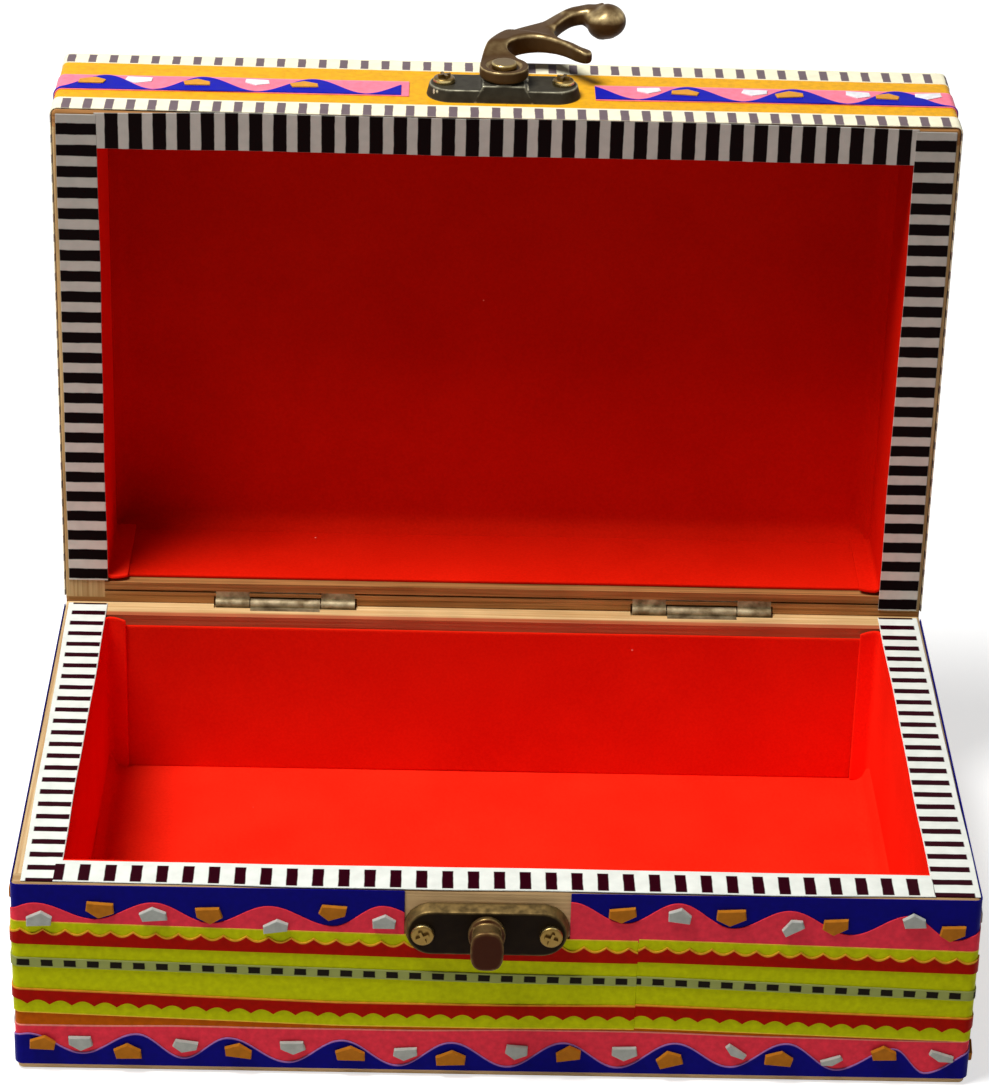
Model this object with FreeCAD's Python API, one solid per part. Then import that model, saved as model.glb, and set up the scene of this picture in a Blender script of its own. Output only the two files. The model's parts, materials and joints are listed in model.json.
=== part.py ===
import FreeCAD, Part
import os
from collections import namedtuple

V = FreeCAD.Vector

# Wooden box, shut. X runs along the width, Y from the front to the hinge side, Z up from the table.
BOX_WIDTH = 160.0
BOX_DEPTH = 100.0
BASE_HEIGHT = 36.8
LID_HEIGHT = 28.0
RIM_GAP = 0.8
WALL = 7.3
LID_LONG_WALL = 6.4
BOARD = 4.0
LIP = 3.2
CORNER_ROUND = 1.0
FOOT_ROUND = 0.6
RIM_ROUND = 0.6

# Hinge line and the bevels that meet when the lid stands open.
OPEN_ANGLE = 90.0
HINGE_INSET = 2.6
BEVEL_START = 0.3
HINGE_SPREAD = 39.0
HINGE_LENGTH = 26.0
KNUCKLE_LENGTH = 13.0
KNUCKLE_GAP = 0.2
KNUCKLE_R = 0.9
KNUCKLE_RELIEF = 0.35
PIN_R = 0.42
PIN_SEAT = 0.01
PIN_PLAY = 0.05
LEAF_THICK = 0.4
LEAF_REACH = 2.2
LEAF_DEEP = 7.0
KERF_INSET = 1.5

# Linings, rim tapes and vinyl.
LINING = 0.6
BACK_LINING_DROP = 2.0
TAPE = 0.25
TAPE_EDGE = 0.1
BASE_TAPE_BACK = 0.6
LID_TAPE_BACK = 3.2
VINYL = 0.35
VINYL_EDGE = 0.7
BACK_VINYL_EDGE = 2.9
WINDOW_PLAY = 0.3

# Latch: a hook plate on the lid and a catch plate on the base, each a little off the middle.
# Heights h are measured outwards from the front face.
HOOK_X = -0.6
CATCH_X = -1.6
PLATE_LENGTH = 27.6
PLATE_WIDTH = 9.4
PLATE_BEVEL = 0.7
SCREW_SPREAD = 10.6
SCREW_HEAD_R = 1.95
SCREW_HEAD_HIGH = 1.0
SCREW_R = 1.1
SCREW_DEEP = 4.6
SCREW_POINT = 0.2
SLOT_LENGTH = 2.3
SLOT_WIDTH = 0.5
HOLE_PLAY = 0.05

HOOK_PLATE_UP = 11.5
HOOK_PLATE_THICK = 2.4
SADDLE_LENGTH = 13.0
SADDLE_HIGH = 3.0
HOOK_BOSS_R = 5.0
HOOK_BOSS_HIGH = 3.45

RING_R = 4.4
RING_LOW = 3.6
RING_HIGH = 5.8
ARM_LOW = 4.1
ARM_HIGH = 6.7
LEVER_FROM = (7.5, 17.2)
LEVER_RUN = 12.0
LEVER_RISE = 4.2
KNOB_R = 3.4
KNOB_AT = (18.8, 20.3)
KNOB_HIGH = 7.2
RIVET_R = 1.5
RIVET_PLAY = 0.05
RIVET_HEAD_R = 2.2
HEAD_PLAY = 0.35
RIVET_HEAD_LOW = 5.95
RIVET_HEAD_HIGH = 7.1
RIVET_ROUND = 0.7
RIVET_TAIL_R = 2.3
RIVET_TAIL_DEEP = 0.9

CATCH_DOWN = 6.8
CATCH_THICK = 2.3
POST_COLLAR = (3.0, 3.7)
POST_NECK = (2.2, 2.6)
POST_HEAD = (2.6, 3.7)
POST_COLLAR_HIGH = 3.2
POST_NECK_HIGH = 6.9
POST_HIGH = 7.6
POST_ROUND = 0.5

# Outline of the hook's arm beside the rivet, as (right, up) on the lid's front.
ARM_OUTLINE = [
    (-4.2, 0.8), (-3.6, 5.5), (-1.9, 10.8), (1.6, 15.8), (6.4, 19.9), (10.4, 23.0), (14.6, 24.2),
    (18.2, 22.6), (16.2, 21.0), (13.4, 21.2), (11.0, 19.4), (9.4, 17.0), (9.4, 14.4), (10.9, 11.8),
    (12.7, 9.1), (14.6, 6.9), (15.6, 5.6), (15.1, 4.3), (13.6, 4.7), (11.7, 7.1), (8.9, 10.1),
    (5.4, 11.7), (1.8, 10.0), (0.6, 6.5), (2.2, 3.8),
]

# Values that follow from those above.
HALF_W = BOX_WIDTH / 2
HALF_D = BOX_DEPTH / 2
HINGE_Y = HALF_D - HINGE_INSET
HINGE_Z = BASE_HEIGHT + RIM_GAP / 2
LID_RIM_Z = BASE_HEIGHT + RIM_GAP
PIVOT_Z = LID_RIM_Z + HOOK_PLATE_UP
CATCH_Z = BASE_HEIGHT - CATCH_DOWN
INNER_W = HALF_W - WALL
FACE_W = INNER_W - LINING

# A half of the box: the height of its rim, the way in from the rim (up or down), its depth, and where
# the inner faces of its front and back boards stand.
Half = namedtuple("Half", "rim into height inner_d")
BASE = Half(BASE_HEIGHT, -1, BASE_HEIGHT, HALF_D - WALL)
LID = Half(LID_RIM_Z, 1, LID_HEIGHT, HALF_D - LID_LONG_WALL)


def block(half, x_span, y_span, depth_span):
    """Box between two X, two Y and two depths below the half's rim."""
    heights = sorted(half.rim + half.into * depth for depth in depth_span)
    corner = V(x_span[0], y_span[0], heights[0])
    sizes = (x_span[1] - x_span[0], y_span[1] - y_span[0], heights[1] - heights[0])
    return Part.makeBox(*sizes, corner)


def level_edges(shape, z):
    """Edges that lie wholly at one height."""
    return [e for e in shape.Edges if abs(e.BoundBox.ZMin - z) < 1e-4 and abs(e.BoundBox.ZMax - z) < 1e-4]


def upright_block(half, grow, depth_span):
    """Block with rounded upright corners, larger than the box by grow on each side."""
    w = HALF_W + grow
    d = HALF_D + grow
    body = block(half, (-w, w), (-d, d), depth_span)
    uprights = [e for e in body.Edges if e.BoundBox.ZLength > 1]
    return body.makeFillet(CORNER_ROUND + grow, uprights)


def hinge_bevel(half):
    """Wedge taken off a half's back rim edge, so that the open lid lands on the base."""
    start = HINGE_Y + BEVEL_START
    leg = HALF_D - start
    points = [(start, 0), (HALF_D + 1, 0), (HALF_D + 1, leg + 1)]
    corners = [V(-HALF_W - 1, y, half.rim + half.into * depth) for y, depth in points]
    face = Part.Face(Part.makePolygon(corners + corners[:1]))
    return face.extrude(V(BOX_WIDTH + 2, 0, 0))


def solid_half(half):
    """One half of the box as a rounded block, before it is split into boards."""
    body = upright_block(half, 0, (0, half.height))
    body = body.makeFillet(FOOT_ROUND, level_edges(body, half.rim + half.into * half.height))
    body = body.makeFillet(RIM_ROUND, level_edges(body, half.rim))
    return body.cut(hinge_bevel(half))


def long_board(half, side):
    """Front (side -1) or back (side 1) board, rebated at its ends and for the flat board."""
    outer = sorted((side * HALF_D, side * half.inner_d))
    rebate = sorted((side * (HALF_D - LIP), side * half.inner_d))
    full = (0, half.height)
    body = block(half, (-HALF_W, HALF_W), outer, full)
    for end in (-1, 1):
        body = body.cut(block(half, sorted((end * INNER_W, end * HALF_W)), rebate, full))
    seat = block(half, (-HALF_W, HALF_W), rebate, (half.height - BOARD, half.height))
    return solid_half(half).common(body.cut(seat))


def side_board(half, side):
    """Left (side -1) or right (side 1) board, let into the long boards."""
    reach = HALF_D - LIP
    body = block(half, sorted((side * HALF_W, side * INNER_W)), (-reach, reach), (0, half.height))
    seat_x = sorted((side * (HALF_W - LIP), side * INNER_W))
    seat = block(half, seat_x, (-reach, reach), (half.height - BOARD, half.height))
    return solid_half(half).common(body.cut(seat))


def flat_board(half):
    """Bottom or lid board, let into the four walls."""
    w = HALF_W - LIP
    d = HALF_D - LIP
    return block(half, (-w, w), (-d, d), (half.height - BOARD, half.height))


def linings(half):
    """Flocked linings of the flat board and the four walls, by name."""
    deep = half.height - BOARD - LINING
    wide = (-INNER_W, INNER_W)
    wall_d = half.inner_d
    face_d = wall_d - LINING
    return {
        "floor" if half is BASE else "top": block(half, wide, (-wall_d, wall_d), (deep, deep + LINING)),
        "front": block(half, wide, (-wall_d, -face_d), (0, deep)),
        "back": block(half, wide, (face_d, wall_d), (BACK_LINING_DROP, deep)),
        "left": block(half, (-INNER_W, -FACE_W), (-face_d, face_d), (0, deep)),
        "right": block(half, (FACE_W, INNER_W), (-face_d, face_d), (0, deep)),
    }


def rim_tapes(half):
    """Striped tapes on the rim: the two sides run full depth, the front one fits between."""
    edge = RIM_ROUND + TAPE_EDGE
    back = HINGE_Y - (BASE_TAPE_BACK if half is BASE else LID_TAPE_BACK)
    top = (-TAPE, 0)
    return {
        "front": block(half, (-FACE_W, FACE_W), (-HALF_D + edge, LINING - half.inner_d), top),
        "left": block(half, (-HALF_W + edge, -FACE_W), (-HALF_D + edge, back), top),
        "right": block(half, (FACE_W, HALF_W - edge), (-HALF_D + edge, back), top),
    }


def vinyl_wrap(half):
    """Vinyl band round the four outer faces, set lower on the hinge side."""
    span = (VINYL_EDGE, half.height - VINYL_EDGE)
    band = upright_block(half, VINYL, span).cut(upright_block(half, 0, span))
    behind = block(half, (-BOX_WIDTH, BOX_WIDTH), (HINGE_Y, BOX_DEPTH), (0, BACK_VINYL_EDGE))
    return band.cut(behind)


def latch_window(half):
    """Cut in the vinyl round a latch plate. On the base it runs up to the rim, over bare wood."""
    reach = PLATE_LENGTH / 2 + WINDOW_PLAY
    middle = CATCH_DOWN if half is BASE else HOOK_PLATE_UP
    low = 0 if half is BASE else middle - PLATE_WIDTH / 2 - WINDOW_PLAY
    high = middle + PLATE_WIDTH / 2 + WINDOW_PLAY
    x = CATCH_X if half is BASE else HOOK_X
    return block(half, (x - reach, x + reach), (-BOX_DEPTH, -HALF_D + 1), (low, high))


def top_vinyl():
    """Vinyl sheet on the lid's outer face."""
    w = HALF_W - FOOT_ROUND - VINYL
    d = HALF_D - FOOT_ROUND - VINYL
    return block(LID, (-w, w), (-d, d), (LID_HEIGHT, LID_HEIGHT + VINYL))


def on_front(x, z, h):
    """Point at a height h outwards from the front face, and x from the latch plate on that half."""
    middle = HOOK_X if z > HINGE_Z else CATCH_X
    return V(middle + x, -HALF_D - h, z)


def outer_edges(shape, h):
    """Edges at a height h outwards from the front face."""
    return [e for e in shape.Edges if abs(e.BoundBox.YMax + HALF_D + h) < 1e-4]


def stud(x, z, radius, low, high):
    """Round stud that stands on the front face between two heights."""
    return Part.makeCylinder(radius, high - low, on_front(x, z, low), V(0, -1, 0))


def oval(z, half_sizes, low, high):
    """Upright oval column on the front face between two heights."""
    across, along = half_sizes
    centre = on_front(0, z, low)
    ring = Part.Ellipse(centre + V(0, 0, along), centre + V(across, 0, 0), centre).toShape()
    return Part.Face(Part.Wire(ring)).extrude(V(0, low - high, 0))


def plate_blank(z, thick, length=PLATE_LENGTH):
    """Latch plate, or its raised middle, with round ends and softened edges."""
    reach = length / 2
    width = PLATE_WIDTH / 2
    left = on_front(-reach + width, z, 0)
    body = Part.makeBox(length - PLATE_WIDTH, thick, PLATE_WIDTH, left + V(0, -thick, -width))
    for end in (-1, 1):
        body = body.fuse(stud(end * (reach - width), z, width, 0, thick))
    body = body.removeSplitter()
    return body.makeChamfer(PLATE_BEVEL, outer_edges(body, thick))


def screws(z, seat):
    """Two round-headed wood screws of a latch plate, with cross slots."""
    made = []
    for end in (-1, 1):
        x = end * SCREW_SPREAD
        top = seat + SCREW_HEAD_HIGH
        head = stud(x, z, SCREW_HEAD_R, seat, top)
        head = head.makeFillet(SCREW_HEAD_HIGH / 2, outer_edges(head, top))
        for wide, tall in ((SLOT_LENGTH, SLOT_WIDTH), (SLOT_WIDTH, SLOT_LENGTH)):
            corner = on_front(x - wide / 2, z - tall / 2, top)
            head = head.cut(Part.makeBox(wide, SLOT_WIDTH, tall, corner))
        shank = stud(x, z, SCREW_R, -SCREW_DEEP, seat)
        tip = Part.makeCone(SCREW_R, SCREW_POINT, SCREW_R, on_front(x, z, -SCREW_DEEP), V(0, 1, 0))
        made.append(head.fuse([shank, tip]).removeSplitter())
    return made


def drill_plate(body, z, middle_r):
    """Screw holes and the middle hole through a latch plate or the wood behind it."""
    deep = SCREW_DEEP + 2
    high = HOOK_BOSS_HIGH + 1
    for end in (-1, 1):
        body = body.cut(stud(end * SCREW_SPREAD, z, SCREW_R + HOLE_PLAY, -deep, high))
    return body.cut(stud(0, z, middle_r, -RIVET_TAIL_DEEP - HOLE_PLAY, high))


def hook_plate():
    """Lid plate with a raised middle and a round boss that carries the hook."""
    boss = stud(0, PIVOT_Z, HOOK_BOSS_R, 0, HOOK_BOSS_HIGH)
    trim = Part.makeBox(PLATE_LENGTH, PLATE_WIDTH, PLATE_WIDTH,
                        on_front(-PLATE_LENGTH / 2, PIVOT_Z - PLATE_WIDTH / 2, PLATE_WIDTH))
    saddle = plate_blank(PIVOT_Z, SADDLE_HIGH, SADDLE_LENGTH)
    body = plate_blank(PIVOT_Z, HOOK_PLATE_THICK).fuse([saddle, boss.common(trim)]).removeSplitter()
    return drill_plate(body, PIVOT_Z, RIVET_R + PIN_SEAT)


def headed_pin(z, tail_to, head):
    """Riveted pin: a flattened tail behind the plate, a shank and the head given."""
    tail = stud(0, z, RIVET_TAIL_R, -RIVET_TAIL_DEEP, 0)
    shank = stud(0, z, RIVET_R, 0, tail_to)
    return tail.fuse([shank, head]).removeSplitter()


def hook_rivet():
    """Rivet the hook turns on, with a domed head."""
    head = stud(0, PIVOT_Z, RIVET_HEAD_R, RIVET_HEAD_LOW, RIVET_HEAD_HIGH)
    head = head.makeFillet(RIVET_ROUND, outer_edges(head, RIVET_HEAD_HIGH))
    return headed_pin(PIVOT_Z, RIVET_HEAD_LOW, head)


def arm_between(low, high):
    """Outline of the hook's arm as a slab between two heights."""
    points = [on_front(x, PIVOT_Z + up, low) for x, up in ARM_OUTLINE]
    curve = Part.BSplineCurve()
    curve.interpolate(points, PeriodicFlag=True)
    return Part.Face(Part.Wire(curve.toShape())).extrude(V(0, low - high, 0))


def rising_slab():
    """Slab that rises outwards to the right, over the branch that ends in the thumb knob."""
    x, up = LEVER_FROM
    end = x + LEVER_RUN
    profile = [(x, ARM_LOW), (end, ARM_LOW + LEVER_RISE), (end, ARM_HIGH + LEVER_RISE), (x, ARM_HIGH)]
    corners = [on_front(across, PIVOT_Z + up, h) for across, h in profile]
    return Part.Face(Part.makePolygon(corners + corners[:1])).extrude(V(0, 0, BOX_DEPTH))


def swing_hook():
    """Cast hook: a ring, a curved arm that forks into the jaw, and a raised lever with a thumb knob."""
    x, up = LEVER_FROM
    beyond = Part.makeBox(BOX_WIDTH, BOX_DEPTH, BOX_DEPTH, on_front(x, PIVOT_Z + up, BOX_DEPTH))
    arm = arm_between(ARM_LOW, ARM_HIGH).cut(beyond)
    lever = arm_between(ARM_LOW, ARM_HIGH + LEVER_RISE).common(rising_slab())
    ring = stud(0, PIVOT_Z, RING_R, RING_LOW, RING_HIGH)
    knob = Part.makeSphere(KNOB_R, on_front(KNOB_AT[0], PIVOT_Z + KNOB_AT[1], KNOB_HIGH))
    body = ring.fuse([arm, lever, knob]).removeSplitter()
    head_room = stud(0, PIVOT_Z, RIVET_HEAD_R + HEAD_PLAY, RING_HIGH, ARM_HIGH + 1)
    bore = stud(0, PIVOT_Z, RIVET_R + RIVET_PLAY, 0, ARM_HIGH + 1)
    return body.cut(head_room).cut(bore)


def catch_plate():
    """Base plate that carries the post."""
    return drill_plate(plate_blank(CATCH_Z, CATCH_THICK), CATCH_Z, RIVET_R + PIN_SEAT)


def catch_post():
    """Oval post with a collar, a waist for the hook's jaw and a larger head."""
    collar = oval(CATCH_Z, POST_COLLAR, CATCH_THICK, POST_COLLAR_HIGH)
    neck = oval(CATCH_Z, POST_NECK, POST_COLLAR_HIGH, POST_NECK_HIGH)
    head = oval(CATCH_Z, POST_HEAD, POST_NECK_HIGH, POST_HIGH)
    head = head.makeFillet(POST_ROUND, outer_edges(head, POST_HIGH))
    return headed_pin(CATCH_Z, CATCH_THICK, collar.fuse([neck, head]))


def latch_holes(body, z):
    """Wood board with the holes of a latch plate's screws and rivet tail."""
    return drill_plate(body, z, RIVET_TAIL_R + HOLE_PLAY)


def along_hinge(x_span, radius):
    """Round bar on the hinge line."""
    return Part.makeCylinder(radius, x_span[1] - x_span[0], V(x_span[0], HINGE_Y, HINGE_Z), V(1, 0, 0))


def knuckle_spans(half, centre):
    """Stretches of the hinge line that a half's leaf wraps: the middle one is the base's."""
    inner = KNUCKLE_LENGTH / 2
    outer = HINGE_LENGTH / 2
    if half is BASE:
        return [(centre - inner, centre + inner)]
    inner += KNUCKLE_GAP
    return [(centre - outer, centre - inner), (centre + inner, centre + outer)]


def leaf_slots(half, centre):
    """Leaf of a half without its knuckles: a plate in the kerf and tabs to the hinge line."""
    kerf = (HINGE_Y - LEAF_REACH, HINGE_Y - LEAF_REACH + LEAF_THICK)
    ends = (centre - HINGE_LENGTH / 2, centre + HINGE_LENGTH / 2)
    body = block(half, ends, kerf, (LEAF_THICK, LEAF_DEEP))
    for span in knuckle_spans(half, centre):
        body = body.fuse(block(half, span, (kerf[0], HINGE_Y), (0, LEAF_THICK)))
    return body.removeSplitter()


def hinge_leaf(half, centre):
    """Leaf with its rolled knuckles, bored for the pin."""
    bore = PIN_R + (PIN_SEAT if half is BASE else PIN_PLAY)
    body = leaf_slots(half, centre)
    for span in knuckle_spans(half, centre):
        body = body.fuse(along_hinge(span, KNUCKLE_R))
    body = body.removeSplitter()
    return body.cut(along_hinge((-HALF_W, HALF_W), bore))


def hinge_pin(centre):
    """Pin through the knuckles."""
    return along_hinge((centre - HINGE_LENGTH / 2, centre + HINGE_LENGTH / 2), PIN_R)


def hinge_board(half):
    """Back board with the knuckle hollows and leaf slots, and on the lid a full saw kerf."""
    body = long_board(half, 1)
    reach = HINGE_LENGTH / 2 + KNUCKLE_RELIEF
    if half is LID:
        kerf = (HINGE_Y - LEAF_REACH, HINGE_Y - LEAF_REACH + LEAF_THICK)
        run = HALF_W - KERF_INSET
        body = body.cut(block(half, (-run, run), kerf, (0, LEAF_DEEP)))
    for centre in (-HINGE_SPREAD, HINGE_SPREAD):
        body = body.cut(along_hinge((centre - reach, centre + reach), KNUCKLE_R + KNUCKLE_RELIEF))
        body = body.cut(leaf_slots(half, centre))
    return body


def opened(shape):
    """Lid piece turned from its shut place to the open rest pose."""
    turned = shape.copy()
    turned.rotate(V(0, HINGE_Y, HINGE_Z), V(1, 0, 0), -OPEN_ANGLE)
    return turned


def half_pieces(half, name, flat_name):
    """Boards, linings, tapes and vinyl wrap of one half, by node name."""
    latch_z = CATCH_Z if half is BASE else PIVOT_Z
    pieces = {
        f"{name}_front_panel": latch_holes(long_board(half, -1), latch_z),
        f"{name}_back_panel": hinge_board(half),
        f"{name}_left_panel": side_board(half, -1),
        f"{name}_right_panel": side_board(half, 1),
        f"{name}_{flat_name}_panel": flat_board(half),
        f"{name}_vinyl_wrap": vinyl_wrap(half).cut(latch_window(half)),
    }
    for place, sheet in linings(half).items():
        pieces[f"{name}_{place}_lining"] = sheet
    for place, tape in rim_tapes(half).items():
        pieces[f"{name}_{place}_rim_tape"] = tape
    for side, centre in (("left", -HINGE_SPREAD), ("right", HINGE_SPREAD)):
        pieces[f"{side}_hinge_{name}_leaf"] = hinge_leaf(half, centre)
    return pieces


def build():
    """Every node of the open box, by name."""
    pieces = half_pieces(BASE, "base", "bottom")
    for side, centre in (("left", -HINGE_SPREAD), ("right", HINGE_SPREAD)):
        pieces[f"{side}_hinge_pin"] = hinge_pin(centre)
    pieces["catch_plate"] = catch_plate()
    pieces["catch_post"] = catch_post()
    pieces["catch_plate_screws"] = Part.makeCompound(screws(CATCH_Z, CATCH_THICK))

    lid = half_pieces(LID, "lid", "top")
    lid["lid_top_vinyl"] = top_vinyl()
    lid["hook_plate"] = hook_plate()
    lid["hook_rivet"] = hook_rivet()
    lid["hook_plate_screws"] = Part.makeCompound(screws(PIVOT_Z, HOOK_PLATE_THICK))
    lid["swing_hook"] = swing_hook()
    for name, shape in lid.items():
        pieces[name] = opened(shape)
    return pieces


os.makedirs("parts", exist_ok=True)
for node, shape in build().items():
    shape.exportStep(os.path.join("parts", node + ".step"))
    print(f"{node:26s} solids {len(shape.Solids)} valid {shape.isValid()} volume {shape.Volume:9.2f} mm3")
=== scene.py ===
import json
import math
import random

import bpy
import numpy as np
from mathutils import Matrix, Vector


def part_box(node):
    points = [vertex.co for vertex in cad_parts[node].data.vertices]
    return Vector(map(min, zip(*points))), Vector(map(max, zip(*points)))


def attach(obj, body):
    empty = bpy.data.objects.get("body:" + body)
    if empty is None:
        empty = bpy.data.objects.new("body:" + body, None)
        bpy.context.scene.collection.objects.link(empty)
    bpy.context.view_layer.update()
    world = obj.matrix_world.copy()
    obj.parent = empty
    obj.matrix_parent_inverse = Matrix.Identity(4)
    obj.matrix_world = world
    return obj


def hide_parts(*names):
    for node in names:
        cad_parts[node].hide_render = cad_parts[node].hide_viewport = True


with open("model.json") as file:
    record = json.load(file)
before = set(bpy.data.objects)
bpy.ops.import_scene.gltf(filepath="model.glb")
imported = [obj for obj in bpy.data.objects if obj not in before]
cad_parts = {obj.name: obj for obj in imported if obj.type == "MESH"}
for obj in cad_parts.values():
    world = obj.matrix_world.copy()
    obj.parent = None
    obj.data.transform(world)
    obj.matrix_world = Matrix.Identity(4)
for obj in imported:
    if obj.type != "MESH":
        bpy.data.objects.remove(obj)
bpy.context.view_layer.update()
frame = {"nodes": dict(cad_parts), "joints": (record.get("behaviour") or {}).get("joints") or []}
bpy.ops.object.select_all(action="DESELECT")


# Boards: pine boards glued at the corners, with a flat one for the floor and one for the lid's top.
# Sawn, sanded on the outside and left bare along the hinge side, round every edge and underneath.
# The front board is varnished up to just under its rim, and glue has stained the back rim along the lining.
MM = 0.001
GRAIN_WIDTH = 0.55  # mm from one grain line to the next
GRAIN_RUN = 34.0  # mm that a grain line runs along the board


def linear(code):
    """An sRGB hex colour as the linear colour that a shader takes."""
    shares = [int(code[i : i + 2], 16) / 255 for i in (1, 3, 5)]
    return (*[s / 12.92 if s <= 0.04045 else ((s + 0.055) / 1.055) ** 2.4 for s in shares], 1.0)


def add_node(tree, kind, inputs=None, **settings):
    """Adds a shader node with its settings, and gives its inputs a value or a link. A node that is given
    stands for the first of its outputs that is in use."""
    made = tree.nodes.new("ShaderNode" + kind)
    for field, value in settings.items():
        setattr(made, field, value)
    for socket, value in (inputs or {}).items():
        if isinstance(value, bpy.types.Node):
            value = next(output for output in value.outputs if output.enabled)
        if isinstance(value, bpy.types.NodeSocket):
            tree.links.new(value, made.inputs[socket])
        else:
            made.inputs[socket].default_value = value
    return made


def new_finish(name):
    """An empty material, ready for its nodes."""
    finish = bpy.data.materials.new(name)
    finish.use_nodes = True
    finish.node_tree.nodes.clear()
    return finish


def bare_pine(name, along, pale, dark, stain=None):
    """Sawn pine: darker grain lines along the board, dull open pores. A stain (axis, from, to, colour)
    covers the part of the board that lies from one place to another on that axis."""
    finish = new_finish(name)
    tree = finish.node_tree
    place = add_node(tree, "TexCoord").outputs["Object"]
    per_axis = [1 / (GRAIN_WIDTH * MM)] * 3
    per_axis["XYZ".index(along)] = 1 / (GRAIN_RUN * MM)
    stretched = add_node(tree, "Mapping", {"Vector": place, "Scale": per_axis})
    grain = add_node(tree, "TexNoise", {"Vector": stretched, "Scale": 1.0, "Detail": 6.0, "Distortion": 0.4})
    blotch = add_node(tree, "TexNoise", {"Vector": place, "Scale": 1 / (9 * MM), "Detail": 2.0})
    lines = add_node(tree, "MapRange", {"Value": grain, "From Min": 0.3, "From Max": 0.66})
    wood = add_node(tree, "Mix", {0: lines, 6: linear(dark), 7: linear(pale)}, data_type="RGBA")
    shade = add_node(tree, "MapRange", {"Value": blotch, "To Min": 0.72, "To Max": 1.18})
    if stain:
        axis, start, end, colour = stain
        where = add_node(tree, "SeparateXYZ", {"Vector": place}).outputs[axis]
        spans = {"Value": where, "From Min": start * MM, "From Max": end * MM, "To Max": 0.8}
        soaked = add_node(tree, "MapRange", spans)
        tint = {0: soaked, 6: wood, 7: linear(colour)}
        wood = add_node(tree, "Mix", tint, data_type="RGBA")
    tint = {0: 1.0, 6: wood, 7: shade}
    toned = add_node(tree, "Mix", tint, data_type="RGBA", blend_type="MULTIPLY")
    bump = add_node(tree, "Bump", {"Height": grain, "Strength": 0.5, "Distance": 0.25 * MM})
    inputs = {"Base Color": toned, "Roughness": 0.72, "Normal": bump, "Specular IOR Level": 0.15}
    shader = add_node(tree, "BsdfPrincipled", inputs)
    add_node(tree, "OutputMaterial", {"Surface": shader})
    return finish


def dress(finish, *names):
    """Gives solids of the frame their finish."""
    for name in names:
        frame["nodes"][name].data.materials.clear()
        frame["nodes"][name].data.materials.append(finish)


pine_long = bare_pine("bare_pine_lengthwise", "X", "#E6C898", "#B98B56")
pine_side = bare_pine("bare_pine_sideways", "Y", "#E6C898", "#B98B56")
pine_upright = bare_pine("bare_pine_lid_side", "Z", "#D9B680", "#A87A46")
pine_rough = bare_pine("rough_sawn_pine", "X", "#C08850", "#7E5226")
varnish, glue = ("Z", 36.45, 36.15, "#F0C890"), ("Y", 44.3, 43.8, "#A83612")
pine_varnished = bare_pine("varnished_pine_front", "X", "#C6A678", "#9C7446", varnish)
pine_glued = bare_pine("pine_with_glue_stain", "X", "#EAC890", "#C89A60", glue)
dress(pine_long, "base_bottom_panel", "lid_top_panel")
dress(pine_varnished, "base_front_panel")
dress(pine_glued, "base_back_panel")
dress(pine_side, "base_left_panel", "base_right_panel")
dress(pine_upright, "lid_left_panel", "lid_right_panel")
dress(pine_rough, "lid_back_panel", "lid_front_panel")


# Linings: red flock on thin card, cut to the floor, the walls and the lid's top and glued in.
# The side cards turn round the hinge corner and stand higher than the back card.
CARD, CARD_EDGE = 0.6, 0.2  # thickness of a flocked card, and how soft its cut edge is
CARD_PLAY = 0.15  # how far a card stops short of the wood
WOOD_HALF_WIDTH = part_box("base_right_panel")[0].x / MM
HINGE_Y, HINGE_Z = (value / MM for value in frame["joints"][0]["pos_m"][1:])
TURN_ROUND = 1.6  # radius at which a side card turns the corner
TAB = 3.6  # how far it runs on past the corner
COVE = 3.2  # radius of the hollow where a flat card runs up the walls
TAB_DROP, TAB_STRAIGHT = 0.8, 0.6  # a tab's end is cut lower by so much, after a straight start
LINT_CELL, LINT = 17.0, 0.011  # mm from speck to speck of lint, and a speck's size as a share of that
LINT_SOFT = 0.003  # how soft a speck's edge is, as a share too


def opened(points):
    """The lid's points in its shut place, turned back a quarter turn about the hinge line."""
    x, y, z = points.T
    return np.stack([x, HINGE_Y + z - HINGE_Z, HINGE_Z + HINGE_Y - y], axis=1)


def level(height):
    """An edge that keeps one height."""
    return lambda along: np.full_like(along, height)


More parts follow.
